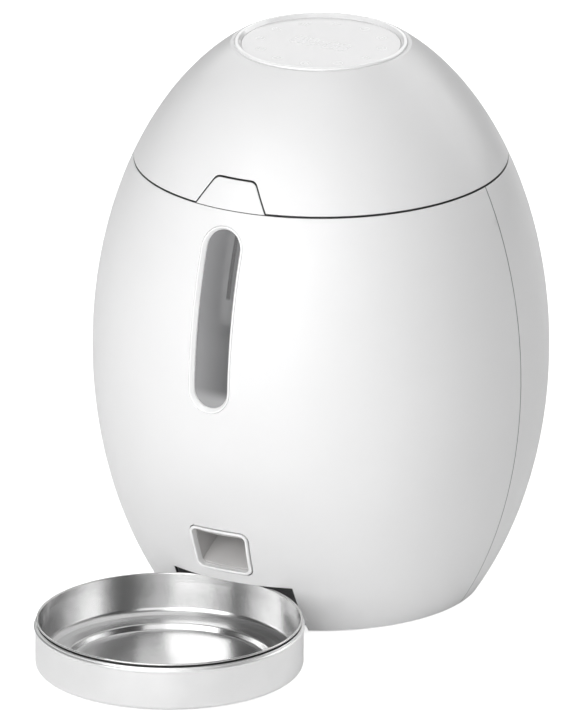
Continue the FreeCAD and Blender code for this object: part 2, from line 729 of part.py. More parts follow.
def involute_point(base_radius, roll):
    """Point on the involute of a circle for a roll angle, as a radius and a polar angle."""
    return base_radius * math.sqrt(1 + roll * roll), roll - math.atan(roll)


def gear(module, teeth, z_low, height, tooth_direction):
    """Spur gear round the origin with one tooth pointing in the given direction."""
    pitch = module * teeth / 2
    base = pitch * math.cos(PRESSURE_ANGLE)
    tip = pitch + 0.9 * module
    root = pitch - 1.2 * module
    half_tooth = math.pi / (2 * teeth) - BACKLASH / (2 * pitch)
    flank_start = half_tooth + math.tan(PRESSURE_ANGLE) - PRESSURE_ANGLE
    last_roll = math.sqrt((tip / base) ** 2 - 1)
    first_roll = math.sqrt(max((root / base) ** 2 - 1, 0.0))
    steps = 5
    flank = []
    for i in range(steps + 1):
        roll = first_roll + (last_roll - first_roll) * i / steps
        radius, turn = involute_point(base, roll)
        flank.append((radius, flank_start - turn))
    root_angle = flank[0][1]

    def at(radius, angle):
        return vector(radius * math.cos(angle), radius * math.sin(angle), z_low)

    edges = []
    pitch_angle = 2 * math.pi / teeth
    for tooth in range(teeth):
        middle = tooth_direction + tooth * pitch_angle
        right = [at(radius, middle - angle) for radius, angle in flank]
        left = [at(radius, middle + angle) for radius, angle in reversed(flank)]
        root_right = at(root, middle - root_angle)
        root_left = at(root, middle + root_angle)
        if base > root:
            edges.append(Part.makeLine(root_right, right[0]))
            edges.append(Part.makeLine(left[-1], root_left))
        for side in (right, left):
            curve = Part.BSplineCurve()
            curve.interpolate(side)
            edges.append(curve.toShape())
        edges.append(Part.Arc(right[-1], at(tip, middle), left[0]).toShape())
        start = root_left if base > root else left[-1]
        gap_middle = at(root, middle + pitch_angle / 2)
        next_right = at(root, middle + pitch_angle - root_angle)
        edges.append(Part.Arc(start, gap_middle, next_right).toShape())
    wire = Part.Wire(Part.__sortEdges__(edges))
    return Part.Face(wire).extrude(vector(0, 0, height))


def idler_place():
    reach = COARSE_MODULE * (OUTPUT_TEETH + IDLER_PINION_TEETH) / 2
    return reach * math.cos(IDLER_DIRECTION), reach * math.sin(IDLER_DIRECTION)


def motor_place():
    reach = FINE_MODULE * (IDLER_TEETH + PINION_TEETH) / 2
    x, y = idler_place()
    return x + reach * math.cos(MOTOR_DIRECTION), y + reach * math.sin(MOTOR_DIRECTION)


def output_gear():
    gap_facing_idler = IDLER_DIRECTION + math.pi / OUTPUT_TEETH
    wheel = gear(COARSE_MODULE, OUTPUT_TEETH, COARSE_GEARS_Z, COARSE_GEARS_HEIGHT, gap_facing_idler)
    hub = cylinder(7.0, FINE_GEARS_Z, COARSE_GEARS_Z + COARSE_GEARS_HEIGHT + 0.8)
    top, groove = COARSE_GEARS_Z + COARSE_GEARS_HEIGHT, 1.8
    groove_low = tube(15.5, 8.5, COARSE_GEARS_Z - 1, COARSE_GEARS_Z + groove)
    groove_high = tube(15.5, 8.5, top - groove, top + 2)
    bore = cylinder(SHAFT_RADIUS, CASE_LOW_Z, COVER_TOP_Z)
    return wheel.fuse(hub).cut([groove_low, groove_high, bore]).removeSplitter()


def idler_gear():
    x, y = idler_place()
    gap_facing_motor = MOTOR_DIRECTION + math.pi / IDLER_TEETH
    tooth_facing_output = IDLER_DIRECTION + math.pi
    big = gear(FINE_MODULE, IDLER_TEETH, FINE_GEARS_Z, FINE_GEARS_HEIGHT, gap_facing_motor)
    small = gear(COARSE_MODULE, IDLER_PINION_TEETH, COARSE_GEARS_Z, COARSE_GEARS_HEIGHT, tooth_facing_output)
    collar = cylinder(4.7, FINE_GEARS_Z, COARSE_GEARS_Z + 0.5)
    bore = cylinder(AXLE_RADIUS + RUNNING_CLEARANCE, CASE_LOW_Z, COVER_TOP_Z)
    return moved(fused([big, small, collar]).cut(bore), x, y, 0)


def idler_axle():
    x, y = idler_place()
    return cylinder(AXLE_RADIUS, CASE_LOW_Z + 0.6, CASE_TOP_Z + 1.2, x, y)


def motor_pinion():
    x, y = motor_place()
    wheel = gear(FINE_MODULE, PINION_TEETH, FINE_GEARS_Z, FINE_GEARS_HEIGHT, MOTOR_DIRECTION + math.pi)
    shaft = cylinder(AXLE_RADIUS, CASE_LOW_Z - 4.0, FINE_GEARS_Z + 1)
    return moved(wheel.fuse(shaft).removeSplitter(), x, y, 0)


def gear_motor():
    """Motor can with its terminals below and a boss round the shaft above."""
    x, y = motor_place()
    top = CASE_LOW_Z - 0.2
    low = top - MOTOR_HEIGHT
    can = cylinder(MOTOR_RADIUS, low, top)
    can = can.makeFillet(1.2, [e for e in can.Edges if e.Closed])
    terminals = [box((side * 5 - 1, side * 5 + 1), (-0.3, 0.3), (low - 1.4, low + 1)) for side in (-1, 1)]
    bore = cylinder(AXLE_RADIUS + RUNNING_CLEARANCE, top - 6.0, top + 1)
    return moved(can.fuse(terminals).cut(bore).removeSplitter(), x, y, 0)


def case_block(inset, z_low, z_high):
    """Block of the gearbox outline with rounded upright corners."""
    x_range = (CASE_X[0] + inset, CASE_X[1] - inset)
    y_range = (CASE_Y[0] + inset, CASE_Y[1] - inset)
    block = box(x_range, y_range, (z_low, z_high))
    upright = [e for e in block.Edges if abs(abs(e.tangentAt(e.FirstParameter).z) - 1) < 1e-6]
    return block.makeFillet(8.0 - inset, upright)


def case_corners():
    reach = 7.0
    xs = (CASE_X[0] + reach, CASE_X[1] - reach)
    ys = (CASE_Y[0] + reach - 2, CASE_Y[1] - reach)
    return [(xs[0], ys[1]), (xs[1], ys[1]), (xs[1], -16.0)]


def gearbox_case():
    """Open-topped tray on three legs that stand on the battery box."""
    tray = case_block(0, CASE_LOW_Z, CASE_TOP_Z).cut(case_block(1.6, CASE_LOW_Z + 2, CASE_TOP_Z + 1))
    bosses = [cylinder(3.2, CASE_LOW_Z, CASE_TOP_Z, x, y) for x, y in case_corners()]
    leg_low = BATTERY_BOX_TOP_Z + BATTERY_BOX_WALL
    leg_places = [(x, max(y, 3.0)) for x, y in case_corners()] + [(-18.0, 3.0)]
    legs = [cylinder(3.2, leg_low, CASE_LOW_Z + 1, x, y) for x, y in leg_places]
    holes = [cylinder(1.2, CASE_TOP_Z - 8, CASE_TOP_Z + 1, x, y) for x, y in case_corners()]
    idler_x, idler_y = idler_place()
    motor_x, motor_y = motor_place()
    cutters = holes + [
        cylinder(AXLE_RADIUS, CASE_LOW_Z + 0.6, CASE_LOW_Z + 5, idler_x, idler_y),
        cylinder(2 * AXLE_RADIUS, CASE_LOW_Z - 1, CASE_LOW_Z + 5, motor_x, motor_y),
        cylinder(SHAFT_RADIUS + RUNNING_CLEARANCE, CASE_LOW_Z + 1, CASE_LOW_Z + 5),
    ]
    boss = cylinder(3.6, CASE_LOW_Z + 1, FINE_GEARS_Z - 0.3, idler_x, idler_y)
    return fused([tray, boss] + bosses + legs).cut(cutters)


def gearbox_cover():
    cover = case_block(0, CASE_TOP_Z + 0.05, COVER_TOP_Z)
    idler_x, idler_y = idler_place()
    through = (CASE_TOP_Z - 1, COVER_TOP_Z + 1)
    cutters = [cylinder(SMALL_SCREW_RADIUS + 0.2, *through, x, y) for x, y in case_corners()]
    cutters.append(cylinder(AXLE_RADIUS, CASE_TOP_Z - 1, CASE_TOP_Z + 1.2, idler_x, idler_y))
    cutters.append(cylinder(SHAFT_RADIUS + RUNNING_CLEARANCE, *through))
    return cover.cut(cutters)


def gearbox_screws():
    one = screw(2.2, 1.3, SMALL_SCREW_RADIUS, 7.0)
    one.rotate(vector(0, 0, 0), vector(1, 0, 0), 180)
    return compound(moved(one, x, y, COVER_TOP_Z) for x, y in case_corners())


# Release button at the front rim

def latch_bracket():
    """Guide under the button, with a slot for its keel and a pocket for its spring."""
    block = box((-20, 20), (-EGG_RADIUS, -82.6), BRACKET_Z).common(egg_body(240, 256, WALL + 0.2))
    slot = box((-4.3, 4.3), (KEEL_Y[0] - 0.4, SPRING_END_Y), (BRACKET_Z[0] + 1.2, BRACKET_Z[1] + 1))
    return block.cut(slot)


def release_button():
    """Curved tab with a foot, a keel that the spring pushes, and the hook."""
    tab = egg_shell(BODY_TOP_Z + 0.3, TAB_TOP_Z + 2, 0.0, 2.4).common(tab_prism(0))
    foot = box((-12, 12), (-EGG_RADIUS, HOOK_BACK_Y), (BODY_TOP_Z + 0.3, BODY_TOP_Z + 2.6))
    foot = foot.common(egg_body(SEAM_Z - 4, SEAM_Z + 6, 1.0))
    keel = box((-4, 4), KEEL_Y, (BRACKET_Z[0] + 1.6, BODY_TOP_Z + 1))
    nose = [
        (HOOK_NOSE_Y + 1.7, BODY_TOP_Z + 1),
        (HOOK_BACK_Y, BODY_TOP_Z + 1),
        (HOOK_BACK_Y, LINER_TOP_Z + 1.6),
        (HOOK_NOSE_Y + 1.7, LINER_TOP_Z + 2.2),
        (HOOK_NOSE_Y, LINER_TOP_Z + 0.3),
        (HOOK_NOSE_Y + 1.7, LINER_TOP_Z + 0.3),
    ]
    hook = side_prism(nose, 7.0)
    return softened(fused([tab, foot, keel, hook]))


def button_spring():
    """Compression spring between the keel and the bracket."""
    coil_radius, wire_radius = 1.7, 0.3
    length = SPRING_END_Y - KEEL_Y[1] - 2 * wire_radius - 0.1
    middle_z = BRACKET_Z[0] + 3.9
    helix = Part.makeHelix(length / 4, length, coil_radius)
    section = Part.Wire(Part.makeCircle(wire_radius, vector(coil_radius, 0, 0), vector(0, 1, 0)))
    spring = Part.Wire(helix).makePipeShell([section], True, True)
    spring.rotate(vector(0, 0, 0), vector(1, 0, 0), -90)
    spring.translate(vector(0, KEEL_Y[1] + wire_radius + 0.05, middle_z))
    return spring


# Lid

def lid_boss(degrees):
    """Boss under the lid's wall for a liner screw."""
    x, y = polar(LID_SCREW_CIRCLE, degrees)
    boss = cylinder(3.6, LINER_TOP_Z + 0.2, TOP_Z, x, y).common(egg_body(SEAM_Z, TOP_Z, 1.0))
    return boss.cut(cylinder(SMALL_SCREW_RADIUS, LINER_TOP_Z, LINER_TOP_Z + 10, x, y))


def panel_standoff(degrees):
    """Post under the panel's seat for a display board screw."""
    x, y = polar(PANEL_BOARD_SCREW_CIRCLE, degrees)
    post = cylinder(2.6, PANEL_BOARD_TOP_Z + 0.05, TOP_Z - 5, x, y)
    return post.common(tube(60, 43.0, PANEL_BOARD_TOP_Z, TOP_Z))


def panel_seat():
    """Ledge that the panel ring stands on."""
    inner, outer = 43.0, PANEL_RING_RADIUS + 0.2
    ledge, under = TOP_Z - PANEL_SEAT_DEPTH, TOP_Z - PANEL_SEAT_DEPTH - 2
    outside = [(57.0, under), (53.0, TOP_Z - 1), (outer, TOP_Z - 1)]
    ring = revolved([(inner, under)] + outside + [(outer, ledge), (inner, ledge)])
    return ring.common(egg_body(TOP_Z - 20, TOP_Z, 0.8))


def hinge_lug():
    """Barrel between the housing's ears and the web that ties it to the lid."""
    half = HINGE_LUG_HALF_WIDTH
    web = box((-half, half), (HINGE_Y - 10, HINGE_Y), (LID_LOW_Z, LID_LOW_Z + 10))
    barrel = cylinder_x(HINGE_RADIUS, -half, half, HINGE_Y, SEAM_Z)
    return fused([barrel, web.common(egg_body(SEAM_Z - 4, SEAM_Z + 20, 0.5))])


def lid_shell():
    opening = cylinder(PANEL_RING_RADIUS + 0.15, TOP_Z - PANEL_SEAT_DEPTH, TOP_Z + 5)
    shell = egg_shell(LID_LOW_Z, TOP_Z).fuse(panel_seat())
    shell = shell.cut([opening, tab_prism(TAB_GAP), hinge_recess()])
    shell = shell.fuse([hinge_lug()] + [lid_boss(a) for a in LID_SCREW_ANGLES])
    shell = shell.fuse([panel_standoff(a) for a in LID_SCREW_ANGLES])
    bore_radius = HINGE_PIN_RADIUS + RUNNING_CLEARANCE
    pin_bore = cylinder_x(bore_radius, -HINGE_EAR_OUTER, HINGE_EAR_OUTER, HINGE_Y, SEAM_Z)
    screw_holes = [
        cylinder(1.0, PANEL_BOARD_TOP_Z - 1, TOP_Z - 8, *polar(PANEL_BOARD_SCREW_CIRCLE, a))
        for a in LID_SCREW_ANGLES
    ]
    return softened(shell.cut([pin_bore] + screw_holes).removeSplitter(), LID_EDGE_ROUND)


def lid_liner():
    """Cover of the lid's underside, with the sealing lip, the hook's window and the catch."""
    plate = egg_body(LINER_Z, LINER_TOP_Z, WALL + 0.4)
    lip = tube(80.6, 78.2, DECK_Z + 3.5, LINER_Z + 1)
    through = (LINER_Z - 1, LINER_TOP_Z + 1)
    hook_window = box((-10, 10), (CATCH_BACK_Y, -81.4), through)
    front = box((-26, 26), (-EGG_RADIUS, CATCH_FRONT_Y), through)
    hinge_room = cylinder_x(HINGE_RADIUS + 1.0, -30, 30, HINGE_Y, SEAM_Z)
    lug_reach = HINGE_LUG_HALF_WIDTH + 0.5
    lug_room = box((-lug_reach, lug_reach), (HINGE_Y - 10.5, HINGE_Y), through)
    screw_holes = [
        cylinder(SMALL_SCREW_RADIUS + 0.2, *through, *polar(LID_SCREW_CIRCLE, a)) for a in LID_SCREW_ANGLES
    ]
    return fused([plate, lip]).cut([hook_window, front, hinge_room, lug_room] + screw_holes)


def lid_seal():
    """Soft ring on the lip that closes the bin's mouth."""
    return revolved([(80.7, DECK_Z + 3.6), (81.6, DECK_Z + 4.2), (81.6, DECK_Z + 7.5), (80.7, DECK_Z + 8.6)])


def lid_screws():
    one = screw(2.5, SCREW_HEAD_HEIGHT, SMALL_SCREW_RADIUS, 10.0)
    return compound(moved(one, *polar(LID_SCREW_CIRCLE, a), LINER_Z) for a in LID_SCREW_ANGLES)


def panel_ring():
    """Raised ring that holds the touch panel."""
    ring = tube(PANEL_RING_RADIUS, PANEL_RADIUS, TOP_Z - 4.5, TOP_Z + 0.4)
    lip = tube(PANEL_RADIUS + 0.5, PANEL_RADIUS - 1.6, TOP_Z - 4.5, TOP_Z - 2.9)
    whole = fused([ring, lip])
    rims = [
        e for e in whole.Edges
        if e.Closed and e.BoundBox.ZMin > TOP_Z and e.BoundBox.XMax > PANEL_RADIUS - 0.1
    ]
    return whole.makeFillet(0.5, rims)


def touch_panel():
    disc = cylinder(PANEL_RADIUS - 0.1, TOP_Z - 2.8, TOP_Z - 0.5)
    rim = [e for e in disc.Edges if e.Closed and e.BoundBox.ZMin > TOP_Z - 1]
    return disc.makeFillet(0.3, rim)


def display_board():
    """Round board under the panel with the digit block and key pads."""
    top = PANEL_BOARD_TOP_Z
    under = top - 1.55
    board = cylinder(48.6, under, top)
    digits = box((-15, 15), (-6, 6), (top - 0.05, top + 7.25))
    driver_chip = box((-6, 4), (14, 24), (under - 1.6, under + 0.1))
    plug_socket = box((-20, -8), (-24, -18), (under - 4.4, under + 0.1))
    pads = [cylinder(4.0, top - 0.05, top + 7.05, *polar(34.0, 30.0 * i)) for i in range(12)]
    holes = [
        cylinder(SMALL_SCREW_RADIUS, under - 1, top + 1, *polar(PANEL_BOARD_SCREW_CIRCLE, a))
        for a in LID_SCREW_ANGLES
    ]
    return fused([board, digits, driver_chip, plug_socket] + pads).cut(holes)


def hinge_pin():
    return cylinder_x(HINGE_PIN_RADIUS, -HINGE_EAR_OUTER + 0.6, HINGE_EAR_OUTER - 0.6, HINGE_Y, SEAM_Z)


# Bowl

def bowl_profile(steps):
    """Solid of revolution from a mix of points and (through, end) arcs, all (r, z)."""
    edges = []
    here = steps[0]
    for step in steps[1:] + steps[:1]:
        if isinstance(step[0], tuple):
            through, end = step
            places = [vector(r, 0, z) for r, z in (here, through, end)]
            edges.append(Part.Arc(*places).toShape())
            here = end
        elif here != step:
            edges.append(line((here[0], 0, here[1]), (step[0], 0, step[1])))
            here = step
    solid = Part.Face(Part.Wire(edges)).revolve(vector(0, 0, 0), vector(0, 0, 1), 360)
    solid.translate(vector(0, BOWL_Y, 0))
    return solid


def steel_bowl():
    """Pressed liner: rolled rim, upright wall, rounded ledge, step and flat floor."""
    top = BOWL_HEIGHT
    return bowl_profile(
        [
            (0.0, 2.4),
            (56.8, 2.4),
            ((57.9, 2.7), (58.3, 3.6)),
            (58.6, 4.2),
            ((59.4, 5.6), (61.0, 6.0)),
            (65.6, 6.6),
            ((71.4, 8.6), (73.0, 14.0)),
            (73.9, top - 1.0),
            ((74.5, top), (75.1, top - 1.0)),
            (75.1, top - 2.2),
            (74.7, top - 2.2),
            (73.8, 13.8),
            ((72.0, 8.0), (65.7, 5.7)),
            (61.2, 5.1),
            ((60.0, 4.8), (59.4, 3.8)),
            ((58.8, 2.0), (57.0, 1.5)),
            (0.0, 1.5),
        ]
    )


def bowl_shell():
    """Outer wall: a bead below the rim, an upright side and a rounded foot turned in underneath."""
    top = BOWL_HEIGHT - 2.35
    wall = 0.7
    foot = BOWL_FOOT_Z
    outer = BOWL_RADIUS
    bead = BOWL_BEAD_RADIUS
    return bowl_profile(
        [
            (outer - wall, top - 0.3),
            (outer - wall, foot + 5.6),
            ((outer - 2.1, foot + 2.3), (70.0, foot + wall)),
            (61.0, foot + wall),
            (61.0, foot),
            (70.0, foot),
            ((outer - 1.5, foot + 1.7), (outer, foot + 5.6)),
            (outer, top - 4.2),
            ((bead, top - 2.0), (outer + 0.1, top - 0.2)),
        ]
    )


def bowl_foot_ring():
    top = BOWL_FOOT_Z - 0.05
    return bowl_profile([(61.5, top), (65.4, top), (64.8, 0.0), (62.3, 0.0)])


NODES = {
    "front_shell": front_shell,
    "rear_shell": rear_shell,
    "window_frame": window_frame,
    "window_lens": window_lens,
    "outlet_bezel": outlet_bezel,
    "outlet_chute": outlet_chute,
    "bowl_dock": bowl_dock,
    "base_plate": base_plate,
    "rubber_feet": rubber_feet,
    "base_screws": base_screws,
    "battery_door": battery_door,
    "door_screw": door_screw,
    "battery_cells": battery_cells,
    "battery_contacts": battery_contacts,
    "main_board": main_board,
    "board_screws": board_screws,
    "dc_jack": dc_jack,
    "hopper": hopper,
    "dosing_housing": dosing_housing,
    "dosing_baffle": dosing_baffle,
    "portion_rotor": portion_rotor,
    "rotor_wipers": rotor_wipers,
    "agitator": agitator,
    "rotor_shaft": rotor_shaft,
    "output_gear": output_gear,
    "idler_gear": idler_gear,
    "idler_axle": idler_axle,
    "motor_pinion": motor_pinion,
    "gear_motor": gear_motor,
    "gearbox_case": gearbox_case,
    "gearbox_cover": gearbox_cover,
    "gearbox_screws": gearbox_screws,
    "latch_bracket": latch_bracket,
    "release_button": release_button,
    "button_spring": button_spring,
    "hinge_pin": hinge_pin,
    "lid_shell": lid_shell,
    "lid_liner": lid_liner,
    "lid_seal": lid_seal,
    "lid_screws": lid_screws,
    "panel_ring": panel_ring,
    "touch_panel": touch_panel,
    "display_board": display_board,
    "steel_bowl": steel_bowl,
    "bowl_shell": bowl_shell,
    "bowl_foot_ring": bowl_foot_ring,
}

for name, make in NODES.items():
    shape = make()
    shape.translate(vector(0, EGG_Y, 0))
    shape.exportStep(f"parts/{name}.step")
    print(name, len(shape.Solids), round(shape.Volume, 1), shape.isValid())
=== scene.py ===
"""Looks of the automatic pet feeder: materials, detailed pieces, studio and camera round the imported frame."""
import json
import math

import bmesh
import bpy
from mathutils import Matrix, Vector


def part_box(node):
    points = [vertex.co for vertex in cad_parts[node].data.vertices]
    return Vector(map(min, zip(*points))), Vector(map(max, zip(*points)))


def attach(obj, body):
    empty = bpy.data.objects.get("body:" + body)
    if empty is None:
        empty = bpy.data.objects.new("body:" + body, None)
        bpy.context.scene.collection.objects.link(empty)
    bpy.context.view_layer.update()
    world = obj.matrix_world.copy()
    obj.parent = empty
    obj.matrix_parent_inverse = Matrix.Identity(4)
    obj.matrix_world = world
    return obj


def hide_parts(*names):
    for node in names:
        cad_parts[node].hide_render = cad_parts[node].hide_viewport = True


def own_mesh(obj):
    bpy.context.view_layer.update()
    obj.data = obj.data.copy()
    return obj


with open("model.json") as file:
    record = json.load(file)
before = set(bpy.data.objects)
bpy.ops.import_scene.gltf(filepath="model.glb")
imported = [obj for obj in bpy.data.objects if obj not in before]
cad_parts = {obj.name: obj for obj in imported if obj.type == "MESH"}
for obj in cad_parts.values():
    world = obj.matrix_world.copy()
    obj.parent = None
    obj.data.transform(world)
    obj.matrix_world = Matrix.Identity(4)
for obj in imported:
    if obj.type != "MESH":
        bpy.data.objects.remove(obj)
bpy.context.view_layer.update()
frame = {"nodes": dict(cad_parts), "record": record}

MM = 0.001

# The egg, an ellipsoid of revolution round an upright axis, as in the part
EGG_Y = 60.25 * MM
EGG_RADIUS = 130.0 * MM
EGG_HALF_HEIGHT = 197.0 * MM
EGG_CENTRE_Z = 141.4 * MM
TOP_Z = 322.3 * MM
SEAM_Z = 254.4 * MM

# Where painted shade darkens the gaps' walls and the skin beside the parting line: levels from the egg's
# centre, 0, to its skin, 1, then distances from the middle of the gap; the darkness changes between the two
# values of a pair
GAP_OUTER_LEVELS = (0.9965, 0.998)
GAP_INNER_LEVELS = (0.983, 0.985)
SEAM_REACH = (1.0 * MM, 1.3 * MM)
PARTING_REACH = (0.5 * MM, 0.7 * MM)
PARTING_SHADE_LIPS = (0.25 * MM, 0.5 * MM)

# The faces of the circuit boards that carry their chips
DISPLAY_BOARD_TOP_Z = TOP_Z - 14.0 * MM
MAIN_BOARD_FRONT_Y = EGG_Y + 98.0 * MM

# Level window: its slot and the frame in it
WINDOW_HALF_WIDTH = 13.2 * MM
WINDOW_LOW_Z = 139.7 * MM
WINDOW_HIGH_Z = 245.8 * MM
LENS_INSET = 3.3 * MM

# Painted dark strip of shade on the lens: its middle, the half width of its dark core, its soft edge and its
# lower end
SHADE_STRIP_X = 7.0 * MM
SHADE_STRIP_CORE = 0.9 * MM
SHADE_STRIP_EDGE = 1.5 * MM
SHADE_STRIP_LOW_Z = 205 * MM

# Food outlet and its rim
OUTLET_HALF_WIDTH = 19.4 * MM
OUTLET_LOW_Z = 38.4 * MM
OUTLET_HIGH_Z = 67.0 * MM
OUTLET_TAPER = 1.2 * MM
OUTLET_CORNER = 5.0 * MM

# Bowl
BOWL_Y = -113.75 * MM
BOWL_HEIGHT = 31.0 * MM
BOWL_FOOT_Z = 2.7 * MM
BOWL_RADIUS = 75.8 * MM
BOWL_BEAD_RADIUS = 76.5 * MM

# Release tab's spring
SPRING_TURNS = 4
SPRING_TURN_STEPS = 24
SPRING_SIDES = 8
SPRING_WIRE = 0.3 * MM

# Touch panel
PANEL_TOP_Z = TOP_Z - 0.5 * MM
ICON_CIRCLE = 35.5 * MM
ICON_STROKE = 0.75 * MM
DIGITS = "08:00"
DIGIT_WIDTH = 5.6 * MM
DIGIT_HEIGHT = 11.0 * MM
DIGIT_STEP = 8.2 * MM
PRINT_THICKNESS = 0.05 * MM

# Camera: a long lens, so that the egg stays almost free of perspective
CAMERA_AZIMUTH = math.radians(29.5)
CAMERA_ELEVATION = math.radians(19.67)
CAMERA_DISTANCE = 14.18
CAMERA_LENS = 1250.0
CAMERA_TARGET = Vector((0.0, 0.0199, 0.144))

# Softboxes: name, azimuth and elevation in degrees (0 is the front, 90 is +X), width and
# height in m, watts
LIGHT_DISTANCE = 2.2
LIGHT_TARGET = Vector((0.0, 0.03, 0.15))
LIGHTS = [
    ("key_low", 0, 15, 2.0, 1.2, 24.0),
    ("key_high", 0, 40, 2.0, 1.2, 14.0),
    ("right", 40, 20, 1.2, 1.2, 6.0),
    ("rim_right", 150, 30, 1.2, 1.5, 12.0),
    ("rim_left", -140, 35, 2.0, 1.2, 12.0),
    ("back", 180, 35, 1.2, 1.2, 6.0),
    ("top", 20, 85, 1.2, 1.2, 5.0),
]
WALL_TONE = 0.04
CEILING_TONE = 0.2
BACKDROP_TONE = 1.05
FLOOR_GLOW = 0.8
FLOOR_BOUNCE = 0.08


# Camera and studio

def direction(azimuth, elevation):
    """Unit vector from the object towards an azimuth (0 is the front, 90 is +X) and an elevation."""
    level = math.cos(elevation)
    return Vector((math.sin(azimuth) * level, -math.cos(azimuth) * level, math.sin(elevation)))


def make_camera():
    data = bpy.data.cameras.new("camera")
    data.lens = CAMERA_LENS
    data.sensor_width = 36.0
    data.clip_start = 1.0
    data.clip_end = 200.0
    camera = bpy.data.objects.new("camera", data)
    back = direction(CAMERA_AZIMUTH, CAMERA_ELEVATION)
    camera.location = CAMERA_TARGET + back * CAMERA_DISTANCE
    camera.rotation_euler = (-back).to_track_quat("-Z", "Y").to_euler()
    bpy.context.scene.collection.objects.link(camera)
    bpy.context.scene.camera = camera


def make_lights():
    for name, azimuth, elevation, width, height, watts in LIGHTS:
        data = bpy.data.lights.new(name, "AREA")
        data.shape = "RECTANGLE"
        data.size = width
        data.size_y = height
        data.energy = watts
        light = bpy.data.objects.new(name, data)
        away = direction(math.radians(azimuth), math.radians(elevation))
        light.location = LIGHT_TARGET + away * LIGHT_DISTANCE
        light.rotation_euler = (-away).to_track_quat("-Z", "Y").to_euler()
        light.visible_camera = False
        bpy.context.scene.collection.objects.link(light)


def make_world():
    """White behind the object, and a dim room with a paler ceiling for light and reflections."""
    world = bpy.data.worlds.new("studio")
    world.use_nodes = True
    tree = world.node_tree
    tree.nodes.clear()
    height = add(tree, "SeparateXYZ", Vector=add(tree, "TexCoord").outputs["Generated"]).outputs["Z"]
    rise = map_range(tree, height, 0.35, 0.95, WALL_TONE, CEILING_TONE)
    room = add(tree, "Background", Strength=rise)
    backdrop = add(tree, "Background", Strength=BACKDROP_TONE)
    for background in (room, backdrop):
        background.inputs["Color"].default_value = (1, 1, 1, 1)
    mix = add(tree, "MixShader", Fac=add(tree, "LightPath").outputs["Is Camera Ray"])
    tree.links.new(room.outputs[0], mix.inputs[1])
    tree.links.new(backdrop.outputs[0], mix.inputs[2])
    add(tree, "OutputWorld", Surface=mix.outputs[0])
    bpy.context.scene.world = world


def make_floor():
    """Pale floor that the camera sees as white; it gives other rays a little light, more at its left."""
    reach = 60.0
    mesh = bpy.data.meshes.new("floor")
    corners = [(-reach, -reach, 0), (reach, -reach, 0), (reach, reach, 0), (-reach, reach, 0)]
    mesh.from_pydata(corners, [], [(0, 1, 2, 3)])
    floor = bpy.data.objects.new("floor", mesh)
    floor.location.z = -0.2 * MM
    bpy.context.scene.collection.objects.link(floor)
    material, tree, shader = new_material("studio_floor")
    shader.inputs["Base Color"].default_value = (0.9, 0.9, 0.9, 1)
    shader.inputs["Roughness"].default_value = 0.9
    shader.inputs["Emission Color"].default_value = (1, 1, 1, 1)
    seen = add(tree, "LightPath").outputs["Is Camera Ray"]
    across = add(tree, "SeparateXYZ", Vector=place(tree)).outputs["X"]
    bounce = map_range(tree, across, -0.4, 0.4, FLOOR_BOUNCE, 0.0)
    unseen = calculate(tree, "MULTIPLY", calculate(tree, "SUBTRACT", 1.0, seen), bounce)
    strength = calculate(tree, "ADD", calculate(tree, "MULTIPLY", seen, FLOOR_GLOW), unseen)
    tree.links.new(strength, shader.inputs["Emission Strength"])
    mesh.materials.append(material)


# Small helpers for node trees

def add(tree, kind, settings=(), **inputs):
    """New shader node; inputs go by their sockets' names, with _ for a space, and are values or sockets."""
    node = tree.nodes.new("ShaderNode" + kind)
    for key, value in dict(settings).items():
        setattr(node, key, value)
    for key, value in inputs.items():
        plug(tree, node.inputs[key.replace("_", " ")], value)
    return node


def plug(tree, socket, value):
    if isinstance(value, bpy.types.NodeSocket):
        tree.links.new(value, socket)
    else:
        socket.default_value = value


def calculate(tree, operation, first, second=0.0):
    node = add(tree, "Math", {"operation": operation})
    plug(tree, node.inputs[0], first)
    plug(tree, node.inputs[1], second)
    return node.outputs[0]


def map_range(tree, value, low, high, to_low, to_high):
    """Smooth change from one value to another while the input goes from low to high."""
    node = add(tree, "MapRange", {"interpolation_type": "SMOOTHSTEP"}, Value=value)
    names = ("From Min", "From Max", "To Min", "To Max")
    for name, number in zip(names, (low, high, to_low, to_high)):
        node.inputs[name].default_value = number
    return node.outputs[0]


def blend_colour(tree, factor, first, second):
    node = add(tree, "Mix", {"data_type": "RGBA"}, Factor=factor)
    for socket, colour in ((node.inputs[6], first), (node.inputs[7], second)):
        plug(tree, socket, (*colour, 1) if isinstance(colour, tuple) else colour)
    return node.outputs[2]


def place(tree):
    """Place in the object's own frame, in metres."""
    return add(tree, "TexCoord").outputs["Object"]


def noise(tree, scale, detail=3.0, vector=None):
    """Noise with about scale features per metre."""
    return add(tree, "TexNoise", Vector=vector or place(tree), Scale=scale, Detail=detail).outputs["Fac"]


def cells(tree, scale):
    """Height of close-set rounded grains, as on a spark-eroded mould."""
    return add(tree, "TexVoronoi", Vector=place(tree), Scale=scale).outputs["Distance"]


def turned(tree, centre, ring_scale):
    """Noise drawn out into rings round an upright axis, as a lathe or a spinning brush leaves them."""
    split = add(tree, "SeparateXYZ", Vector=place(tree))
    across = calculate(tree, "SUBTRACT", split.outputs["X"], centre.x)
    along = calculate(tree, "SUBTRACT", split.outputs["Y"], centre.y)
    squares = [calculate(tree, "MULTIPLY", side, side) for side in (across, along)]
    radius = calculate(tree, "SQRT", calculate(tree, "ADD", *squares))
    rings = add(tree, "CombineXYZ", X=radius, Z=split.outputs["Z"])
    return noise(tree, ring_scale, 2.0, rings.outputs[0])


def new_material(name):
    material = bpy.data.materials.new(name)
    material.use_nodes = True
    return material, material.node_tree, material.node_tree.nodes["Principled BSDF"]


